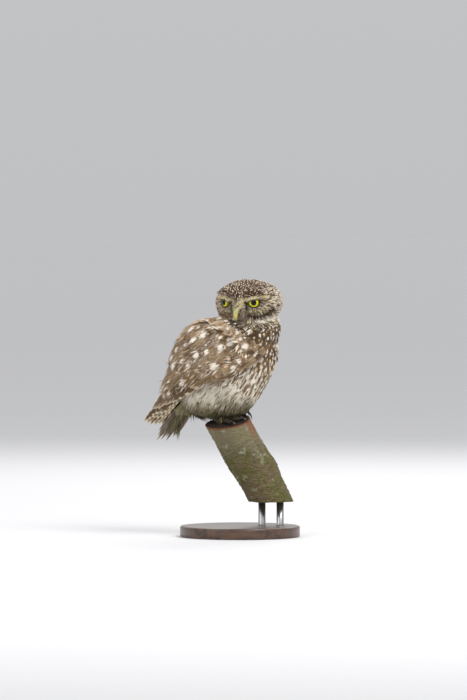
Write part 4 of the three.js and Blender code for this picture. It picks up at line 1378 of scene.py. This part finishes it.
def add_crown():
    """Crown and sides of the head: brown with pale flecks."""

    def keep(p):
        h = head.inside(p)
        b = bird.inside(p)
        place = (b[:, 2] > 230) & ~on_face(h)
        place[place] = beside_eye(p[place]) > 0.8
        return place

    root, out = ground.scatter(keep, lambda p: mix(
        1.75, 2.6, step(head.inside(p)[:, 0], 10, -25)))
    n = len(root)
    h = head.inside(root)
    flow = head.ways(head_flow(h)) + 0.09 * rng.normal(size=(n, 3))
    back = step(h[:, 0], 10, -22)
    side = step(np.abs(h[:, 1]), 22, 31) * step(h[:, 2], 20, 12)
    below = step(h[:, 2], 0, -14) * step(np.abs(h[:, 1]), 12, 22)
    pale = (rng.random(n) < np.maximum(0.45 * side, 0.12 * below))[:, None]
    brown = varied(mix(CROWN, BROWN, np.maximum(back, below)[:, None]), n, 0.16)
    light = varied(mix(BUFF, WHITE, np.maximum(0.55, below)[:, None]), n, 0.12)
    base, mark = np.where(pale, light, brown), np.where(pale, brown, light)
    fleck = rng.random(n) < 0.88
    streak = np.where(pale[:, 0] & fleck, 0.28, 0)
    spot = np.where(fleck & ~pale[:, 0], mix(0.4, 0.5, back) * rng.uniform(0.7, 1.2, n), 0)
    coat = Coat("coat_crown")
    coat.add(
        root, flow, out, mix(5.6, 8.0, back) * (1 + 0.15 * rng.normal(size=n)),
        mix(2.4, 4.0, back),
        looks(n, base, mark, streak, spot, along=0.84, long=mix(3.4, 2.2, back)),
        round_head(root), sink=0.6, rise=1.5, bend=1 / 32,
    )
    coat.build("plumage_head")


def add_barbs(coat, root, way, out, length, rise, bend, share):
    """The face's narrow barbs, each in the colour of the place where it shows."""
    n = len(root)
    length = length * (1 + 0.2 * rng.normal(size=n))
    seen = root + unit(way) * (share * length)[:, None]
    base = varied(face_colour(head.inside(seen), beside_eye(seen)), n, 0.18)
    coat.add(
        root, way, out, length, 0.8, looks(n, base, base), round_head(root),
        shape=HAIR_TIP, section=BARB, sink=0.5, rise=rise, bend=bend, thick=0.08,
        twist=0.012 * rng.normal(size=n),
    )


def add_face():
    """Barbs on the discs, barbs on the lids, and bristles over the bill's root."""
    coat = Coat("coat_face")

    def keep(p):
        place = on_face(head.inside(p)) & (bird.inside(p)[:, 2] > 226)
        place[place] = beside_eye(p[place]) > 0.8
        return place

    root, out = ground.scatter(keep, lambda p: np.full(len(p), 0.9))
    h = head.inside(root)
    from_eye = unit(h - vectors(24, np.sign(h[:, 1]) * EYE_PLACE["aside"], EYE_PLACE["up"]))
    from_bill = unit(h - (33, 0, -5))
    near_bill = hill(h[:, 1], 7)[:, None]
    way = head.ways(mix(from_eye, from_bill, near_bill)) + 0.12 * rng.normal(size=root.shape)
    chin = step(h[:, 2], -10, -14)
    length = mix(3.4, 4.4, step(eye_distance(h), 8, 16)) + 1.6 * chin
    add_barbs(coat, root, way, out, length, mix(0.9, 2.0, chin), mix(1 / 40, 0, chin),
              mix(0.6, 0.85, chin))
    for side in (-1, 1):
        n = LID_BARBS
        turn = rng.uniform(0, 2 * np.pi, n)
        angle = lid_angle(turn, rng.uniform(0.07, 0.95, n), side)
        out, way = polar(1, angle, turn), polar(1, angle + np.pi / 2, turn)
        eye = eye_place(side)
        root = eye.points(out * (LID_RADIUS + 0.8))
        way = eye.ways(way) + 0.15 * rng.normal(size=(n, 3))
        add_barbs(coat, root, way, eye.ways(out), np.full(n, 2.4), 0.7, 1 / 9, np.full(n, 0.6))
    n = BRISTLES
    side = np.where(rng.random(n) < 0.5, -1, 1)
    aside, up = rng.uniform(3.4, 7.5, n), rng.uniform(-12.5, -3, n)
    root = head.points(vectors(28.5 - 0.25 * aside, side * aside, up))
    way = vectors(rng.uniform(0.2, 0.7, n), -0.15 * side + 0.15 * rng.normal(size=n), -1)
    out = vectors(1, 0.5 * side, 0)
    coat.add(
        root, head.ways(way), head.ways(out), rng.uniform(5, 8.5, n), 0.4,
        looks(n, varied(mix(TAUPE, GREY, rng.random((n, 1))), n, 0.15), TAUPE), round_head(root),
        shape=HAIR_TIP, section=BARB, sink=0.2, rise=2.2, thick=0.08, bend=1 / 18,
    )
    coat.build("plumage_head")


for dress in (add_breast, add_belly, add_mantle, add_tail, add_crown, add_face):
    dress()
for side, name in SIDES:
    sheet = wing_sheet(side)
    add_flight(sheet, side, name)
    coat = Coat("coat_wing_" + name)
    add_coverts(sheet, side, coat)
    add_spots(sheet, side, coat)
    coat.build("plumage_brown")


# Eyes: how far the cornea swells, and the angle from the gaze at which the iris ends
CORNEA = 0.05
IRIS_REACH = math.radians(58)


def eye_material():
    s = Shader("eye")
    reach, turn, _ = s.split(s.attribute("gaze"))
    rays = s.noise(9.0, 4.0, s.node("CombineXYZ", i0=turn * 9.0, i1=reach * 1.5))
    yellow = s.blend(s.fade(rays, 0.35, 0.65), colour(216, 206, 22), colour(186, 176, 16))
    yellow = s.blend(s.fade(reach, 0.5, 0.74), yellow, colour(104, 102, 14))
    dark = colour(8, 6, 5)
    color = s.blend(s.fade(reach, 0.37, 0.41), dark, yellow)
    color = s.blend(s.fade(reach, 0.88, 0.97), color, dark)
    return s.finish(color, 0.1, None, Coat_Weight=0.25, Coat_Roughness=0.03, IOR=1.33,
                    Specular_IOR_Level=0.2)


def add_eye(side, name, material):
    place = eye_place(side)
    angles = np.radians(np.linspace(0.4, 179.6, 60))
    turns = np.linspace(0, 2 * np.pi, 72, endpoint=False)
    swell = 1 + CORNEA * hill(angles, 0.75)
    rings = polar(EYE_RADIUS, angles[:, None], turns) * swell[:, None, None]
    eye = loft("eye_" + name + "_ball", rings, place)
    reach = np.append(np.repeat(angles / IRIS_REACH, len(turns)), [0, 3])
    turn = np.append(np.tile(np.abs(turns / np.pi - 1), len(angles)), [0, 0])
    store(eye, "FLOAT_VECTOR", gaze=vectors(reach, turn, 0))
    settle(eye, material, "eye", "eye_" + name)


def lid_material():
    s = Shader("lid")
    grain = s.noise(900.0, 4.0)
    color = s.blend(grain, colour(20, 15, 12), colour(46, 36, 28))
    return s.finish(color, 0.55, s.bump(grain, 0.5, 0.0003))


# A lid's section: the share of the way from its open edge, and the height over the eyeball
LID_PROFILE = [
    (1, -0.6), (0.75, 0.5), (0.4, 1.0), (0.16, 1.1), (0.04, 0.85), (0, 0.45), (0.03, 0.05),
    (0.2, -0.2), (1, -1.2),
]


def add_lids(side, name, material):
    """The rims of the two lids: the upper one low and straight, for the bird's frown."""
    turns = np.linspace(0, 2 * np.pi, 72, endpoint=False)
    rings = np.array([
        polar(LID_RADIUS + lift, lid_angle(turns, share, side), turns) for share, lift in LID_PROFILE
    ])
    k, m = rings.shape[:2]
    index = np.arange(k * m).reshape(k, m)
    nxt = np.roll(index, -1, 1)
    below, below_next = np.roll(index, -1, 0), np.roll(nxt, -1, 0)
    faces = np.stack([index, nxt, below_next, below], -1).reshape(-1, 4)
    lid = mesh_object("lids_" + name, rings.reshape(-1, 3), faces, eye_place(side))
    settle(lid, material, "plumage_head")


eye_paint, lid_paint = eye_material(), lid_material()
for side, name in SIDES:
    add_eye(side, name, eye_paint)
    add_lids(side, name, lid_paint)


# Bill
def bill_material():
    s = Shader("bill")
    lines = s.noise(120.0, 4.0)
    pale = s.blend(lines, colour(196, 188, 104), colour(164, 158, 84))
    ridge = s.attribute("reach", 2)
    color = s.blend(s.fade(ridge, 0.25, 0.7), colour(136, 132, 92), pale)
    color = s.blend(s.fade(s.noise(60.0, 5.0), 0.45, 0.75, 0.0, 0.5), color, colour(128, 122, 64))
    return s.finish(color, s.fade(lines, 0.3, 0.7, 0.28, 0.42),
                    s.bump(s.noise(400.0, 3.0), 0.15, 0.0003), Coat_Weight=0.3, Coat_Roughness=0.2)


def cere_material():
    s = Shader("cere")
    grain = s.noise(500.0, 4.0)
    color = s.blend(grain, colour(112, 108, 84), colour(142, 138, 112))
    return s.finish(color, 0.6, s.bump(grain, 0.4, 0.0003))


BILL_PIECES = {
    "bill_upper": (
        [(22, 0, -6), (29.4, 0, -5.8), (32.8, 0, -9.2), (33.6, 0, -13.6), (31.9, 0, -18.6)],
        [4.4, 3.7, 2.9, 2.1, 0.35],
    ),
    "bill_lower": (
        [(22, 0, -11.4), (25.5, 0, -11.9), (28, 0, -13.3), (29.4, 0, -15.2)],
        [3.2, 2.7, 1.9, 0.6],
    ),
    "cere": ([(20, 0, -2.6), (26.5, 0, -3.2), (30.2, 0, -5.6)], [3.2, 4, 3]),
}


def add_bill():
    horn, soft = bill_material(), cere_material()
    for name, (points, radii) in BILL_PIECES.items():
        is_cere = name == "cere"
        rings = taper_rings(points, radii, 36, 40)
        piece = loft(name + ("_skin" if is_cere else "_horn"), rings, head)
        reach = np.append(np.repeat(np.linspace(0, 1, len(rings)), rings.shape[1]), [0, 1])
        store(piece, "FLOAT", reach=reach)
        settle(piece, soft if is_cere else horn, "cere" if is_cere else "bill", name)


add_bill()


# Feet: each toe's turn in degrees, its reach and its claw's length
TOES = {
    "inner": (-17, 17, 9.5), "middle": (-2, 20, 10.5), "outer": (34, 18, 9.5), "hind": (176, 7, 7.5),
}
TOE_RADII = [3.0, 2.6, 2.6, 2.0]
CLAW_RADII = [1.35, 1.3, 0.95, 0.12]


def toe_points(foot, toe):
    x, y, foot_turn = FEET[foot]
    outward = 1 if foot == "left" else -1
    turn, reach, _ = TOES[toe]
    angle = math.radians(foot_turn + turn * outward)

    def at(far, lift):
        px, py = x + far * math.cos(angle), y + far * math.sin(angle)
        return np.array([px, py, face_height(px, py) + lift])

    return [at(0, 3.4), at(reach * 0.36, 3.9), at(reach * 0.72, 3.3), at(reach, 2.7)]


def claw_points(line, length):
    """A claw's middle line, hooked further down where it reaches past the branch's edge."""
    end = line[3]
    away = unit((end - line[2]) * (1, 1, 0))
    tip = end + away * 0.8 * length
    past = step(math.hypot(*(tip - cut_middle)[:2]), PERCH_RADIUS[0] - 1, PERCH_RADIUS[0] + 4)

    def at(far, drop):
        return end + (away * far + np.array([0, 0, -drop])) * length

    return [
        at(0.02, 0), at(0.34, -0.12), at(0.66, 0.02 + 0.24 * past),
        at(mix(0.86, 0.78, past), mix(0.24, 0.68, past)),
    ]


def toe_material():
    s = Shader("toe")
    cells = s.node("TexVoronoi", Scale=900.0)
    grain = s.noise(300.0, 3.0)
    # The toes' skin is painted very dark brown: painted shade under the bird
    color = s.blend(grain, colour(46, 38, 30), colour(70, 60, 46))
    return s.finish(color, 0.7, s.bump(cells, 0.6, 0.0004))


def claw_material():
    s = Shader("claw")
    grain = s.noise(200.0, 3.0)
    color = s.blend(grain, colour(22, 18, 16), colour(46, 38, 33))
    return s.finish(color, 0.25, s.bump(grain, 0.1, 0.0002), Coat_Weight=0.4, Coat_Roughness=0.1)


def add_feet():
    toe_paint, claw_paint = toe_material(), claw_material()
    for foot, (x, y, _) in FEET.items():
        pad = np.array([x, y, face_height(x, y) + 2.6])
        pad_line = [pad + (-4, 0, 0), pad, pad + (4, 0, 0)]
        pieces = [loft("part", taper_rings(pad_line, [1.5, 4.4, 1.5], 24, 12), bird)]
        for toe in TOES:
            line = toe_points(foot, toe)
            pieces.append(loft("part", taper_rings(line, TOE_RADII, 20, 20), bird))
            claw_line = claw_points(line, TOES[toe][2])
            claw = loft(f"claw_{foot}_{toe}_horn", taper_rings(claw_line, CLAW_RADII, 16, 16), bird)
            settle(claw, claw_paint, "claw", f"claw_{foot}_{toe}")
        settle(joined("toes_" + foot, pieces), toe_paint, "toe_skin", "foot_" + foot)


add_feet()
add_legs()


# Branch
def bark_material():
    """Bark with creases, moss, lichen and a red rim, and the cut face, whose wood is painted dark for
    the shadow under the bird.
    """
    s = Shader("bark")
    reach, face, facing = s.split(s.attribute("bark"))
    where = s.attribute("stem")
    ring = s.node("Mapping", Vector=where, Scale=(0.16, 0.16, 1.0))
    long = s.node("Mapping", Vector=where, Scale=(1.0, 1.0, 0.35))
    wrinkle = s.noise(1.15, 4.0, ring, 0.62, 0.4)
    fold = s.noise(0.42, 3.0, ring, 0.55, 0.6)
    blotch = s.noise(0.05, 5.0, long, 0.62) - 0.5
    patch = s.noise(0.085, 4.0, where, 0.6)
    fine = s.noise(0.9, 5.0, where, 0.65)
    grain = s.noise(3.0, 2.0, where)
    grey = s.blend(s.fade(fine, 0.3, 0.7), colour(96, 88, 62), colour(140, 130, 102))
    green = s.blend(s.fade(fine, 0.3, 0.7), colour(72, 72, 30), colour(122, 118, 64))
    moss = s.fade(reach + blotch * 90.0, 22.0, 40.0) * s.fade(patch, 0.36, 0.56)
    color = s.blend(moss * 0.9, grey, green)
    brown = s.fade(patch, 0.6, 0.42) * s.fade(reach, 30.0, 50.0)
    color = s.blend(brown * 0.6, color, colour(118, 98, 72))
    lichen = s.fade(s.noise(0.11, 2.0, where), 0.6, 0.66) * s.fade(fine, 0.4, 0.5)
    color = s.blend(lichen * 0.4, color, colour(186, 184, 160))
    red = s.fade(facing, 0.1, 0.75) * s.fade(reach + blotch * 26.0, 26.0, 8.0)
    red = red * s.fade(s.noise(0.35, 4.0, where), 0.34, 0.5)
    color = s.blend(red, color, colour(130, 78, 52))
    line = s.fade(abs(wrinkle - 0.5), 0.03, 0.0)
    crease = s.fade(abs(fold - 0.48), 0.018, 0.0)
    dark = s.most(line * 0.45, crease * 0.8) * s.fade(reach, 12.0, 40.0, 0.3, 1.0)
    color = s.blend(dark, color, colour(46, 44, 24))
    color = s.blend(s.fade(grain, 0.45, 0.7, 0.0, 0.25), color, colour(54, 50, 36))
    rim = s.blend(s.fade(fine, 0.35, 0.6), colour(60, 38, 26), colour(130, 78, 48))
    color = s.blend(s.fade(reach - fine * patch * 9.0, 0.1, -0.9), color, rim)
    # The cut face's wood grain is painted very dark: painted shadow of the bird over the cut
    wood = s.blend(fine, colour(30, 21, 16), colour(56, 40, 29))
    inner = s.fade(face - fine * 0.5, 0.05, 0.4)
    color = s.blend(s.fade(face, 0.01, 0.05), color, s.blend(inner, rim, wood))
    bump = s.bump(fine * 0.7 + grain * 0.3 - dark * 0.8, 0.8, 0.001)
    return s.finish(color, s.fade(fine, 0.3, 0.7, 0.75, 0.95), bump, Specular_IOR_Level=0.3)


def add_perch():
    """The branch: rings from the slanting upper cut to the level lower one, and the upper face."""
    lean = unit(PERCH_LEAN)
    across = unit(np.cross((0, 1, 0), lean))
    ahead = np.cross(lean, across)
    top = np.array(PERCH_TOP, float)
    normal = unit(PERCH_CUT)
    length = (PERCH_TOP[2] - PERCH_BOTTOM) / lean[2]
    sides, rows = 200, 160
    turn = np.linspace(0, 2 * np.pi, sides, endpoint=False)
    ring_way = np.cos(turn)[:, None] * across + np.sin(turn)[:, None] * ahead

    def radius(reach):
        wave = 0.6 * np.sin(3 * turn + reach * 0.06) + 0.5 * np.sin(reach * 0.11)
        share = np.clip(-reach / length, 0, 1)
        k = PERCH_KNOB
        knob = k["height"] * hill(reach - k["reach"], k["length"])
        knob = knob * hill(np.sin(turn / 2), k["breadth"] / 2)
        return mix(PERCH_RADIUS[0], PERCH_RADIUS[1], share) + wave + knob

    rough = rng.normal(size=(rows + 1, sides))
    for _ in range(3):
        rough = (rough + np.roll(rough, 1, 1) + np.roll(rough, -1, 1)) / 3
    upper = -(ring_way * PERCH_RADIUS[0]) @ normal / (lean @ normal)
    lower = (PERCH_BOTTOM - top[2] - (ring_way * PERCH_RADIUS[1])[:, 2]) / lean[2]
    rings, marks = [], []
    for share, bumps in zip(np.arange(rows + 1) / rows, rough):
        reach = mix(upper, lower, share)
        slant = reach + 1.6 * np.sin(turn + 0.05 * reach) + 0.8 * np.sin(5 * turn + 0.3 * reach)
        fold = np.sin(0.75 * slant + 2.2 * np.sin(0.19 * slant)) * np.sin(2 * turn + 0.11 * reach)
        r = radius(reach) + 0.5 * bumps * step(share, 0, 0.05) + 0.3 * fold * step(share, 0.02, 0.15)
        rings.append(top + lean * reach[:, None] + ring_way * r[:, None])
        marks.append(vectors(np.abs(upper - reach), 0, np.cos(turn - 0.4)))
    rim = rings[0]
    for share in np.linspace(0.98, 0.04, 24):
        dip = 0.5 * (1 - share) + 0.25 * np.sin(40 * share) * (share < 0.95)
        rings.insert(0, top + (rim - top) * share - normal * dip)
        marks.insert(0, vectors(np.zeros(sides), step(share, 1.0, 0.94), 0))
    rings = np.array(rings)
    perch = loft("branch", rings)
    bark = np.vstack([np.reshape(marks, (-1, 3)), [[0, 1, 0], [60, 0, 0]]])
    away = np.vstack([rings.reshape(-1, 3), top, top - lean * length]) - top
    stem = vectors(away @ across, away @ ahead, away @ lean)
    store(perch, "FLOAT_VECTOR", bark=bark, stem=stem)
    settle(perch, bark_material(), "bark", "perch")


add_perch()


# Stand
def wood_material():
    s = Shader("stand wood")
    where = s.node("Mapping", Vector=s.node("TexCoord", 3), Scale=(4, 60, 30))
    grain = s.noise(4.0, 6.0, where, 0.6, 0.4)
    color = s.blend(s.fade(grain, 0.3, 0.7), colour(48, 33, 24), colour(92, 65, 46))
    return s.finish(color, s.fade(grain, 0.3, 0.7, 0.3, 0.42), s.bump(grain, 0.12, 0.0005),
                    Coat_Weight=0.25, Coat_Roughness=0.2)


def steel_material():
    s = Shader("rod steel")
    brushed = s.noise(1.0, 3.0, s.node("Mapping", Vector=s.node("TexCoord", 3), Scale=(900, 900, 30)))
    color = s.blend(brushed, colour(150, 150, 152), colour(190, 190, 192))
    return s.finish(color, s.fade(brushed, 0.3, 0.7, 0.25, 0.4), s.bump(brushed, 0.1, 0.0001),
                    Metallic=1.0)


def turned(name, profile, sides=128, middle=(0, 0)):
    """A turned form from (radius, height) pairs."""
    turn = np.linspace(0, 2 * np.pi, sides, endpoint=False)
    return loft(name, [
        vectors(middle[0] + r * np.cos(turn), middle[1] + r * np.sin(turn), z) for r, z in profile
    ])


def add_stand():
    r, t = BASE_RADIUS, BASE_THICKNESS
    bevel = [
        (r - 2 + 2 * math.sin(a), t - 2 + 2 * math.cos(a)) for a in np.linspace(0, math.pi / 2, 7)
    ]
    profile = [(r * 0.5, t), (r - 3, t), *bevel, (r, 1), (r - 0.7, 0.2), (r - 1, 0), (r * 0.5, 0)]
    base = turned("stand_disc", profile)
    settle(base, wood_material(), "stand_wood", "stand_base")
    steel = steel_material()
    lean = unit(PERCH_LEAN)
    foot = np.array(PERCH_TOP) - lean * (PERCH_TOP[2] - PERCH_BOTTOM) / lean[2]
    for side, name in ((-1, "a"), (1, "b")):
        k = ROD_RADIUS
        profile = [(k, PERCH_BOTTOM + 0.5), (k, t + 0.6), (k + 0.1, t + 0.3)]
        rod = turned("stand_post_" + name, profile, 48, (foot[0] + side * ROD_SPACING / 2, foot[1]))
        settle(rod, steel, "rod_steel", "stand_rod_" + name)


add_stand()


# Floor, light and camera
FLOOR_HALF = 60000
# Each lamp's place from the frame's middle and its size in metres, and its power in watts
LAMPS = {
    "key": ((0.9, -1.1, 1.5), 1.1, 34),
    "fill": ((-1.4, -1.2, 0.7), 1.4, 10),
    "back": ((0.2, 1.5, 1.2), 1.2, 16),
}


def add_room():
    scene = bpy.context.scene
    k = FLOOR_HALF
    corners = [(-k, -k, 0), (k, -k, 0), (k, k, 0), (-k, k, 0)]
    floor = mesh_object("floor", corners, [(0, 1, 2, 3)])
    s = Shader("floor")
    tone = s.noise(3.0, 3.0)
    color = s.blend(tone, colour(209, 208, 209), colour(215, 214, 215))
    floor.data.materials.append(s.finish(color, 0.9))
    background = bpy.data.worlds.new("studio")
    background.use_nodes = True
    nodes, links = background.node_tree.nodes, background.node_tree.links
    parts = nodes.new("ShaderNodeSeparateXYZ")
    links.new(nodes.new("ShaderNodeTexCoord").outputs["Generated"], parts.inputs[0])
    glow = nodes.new("ShaderNodeMapRange")
    glow.interpolation_type = "SMOOTHSTEP"
    links.new(parts.outputs[2], glow.inputs[0])
    for index, value in enumerate((-0.02, 0.5, 0.54, 0.82), 1):
        glow.inputs[index].default_value = value
    links.new(glow.outputs[0], nodes["Background"].inputs[1])
    nodes["Background"].inputs[0].default_value = (0.97, 0.985, 1, 1)
    scene.world = background
    middle = Vector(FRAME_MIDDLE) * MM
    for name, (offset, size, power) in LAMPS.items():
        lamp = bpy.data.lights.new(name, "AREA")
        lamp.size = size
        lamp.energy = power
        obj = bpy.data.objects.new(name, lamp)
        obj.location = middle + Vector(offset)
        obj.rotation_euler = (-Vector(offset)).to_track_quat("-Z", "Y").to_euler()
        scene.collection.objects.link(obj)
    lens = bpy.data.cameras.new("camera")
    lens.sensor_width = 36
    lens.lens = 36 * CAMERA_DISTANCE / (FRAME_SIZE[1] * PIXEL)
    lens.clip_end = 200
    camera = bpy.data.objects.new("camera", lens)
    rise = math.radians(CAMERA_RISE)
    back = Vector((0, -math.cos(rise), math.sin(rise)))
    camera.location = middle + back * CAMERA_DISTANCE * MM
    camera.rotation_euler = (-back).to_track_quat("-Z", "Y").to_euler()
    scene.collection.objects.link(camera)
    scene.camera = camera
    scene.view_settings.view_transform = "Standard"


add_room()
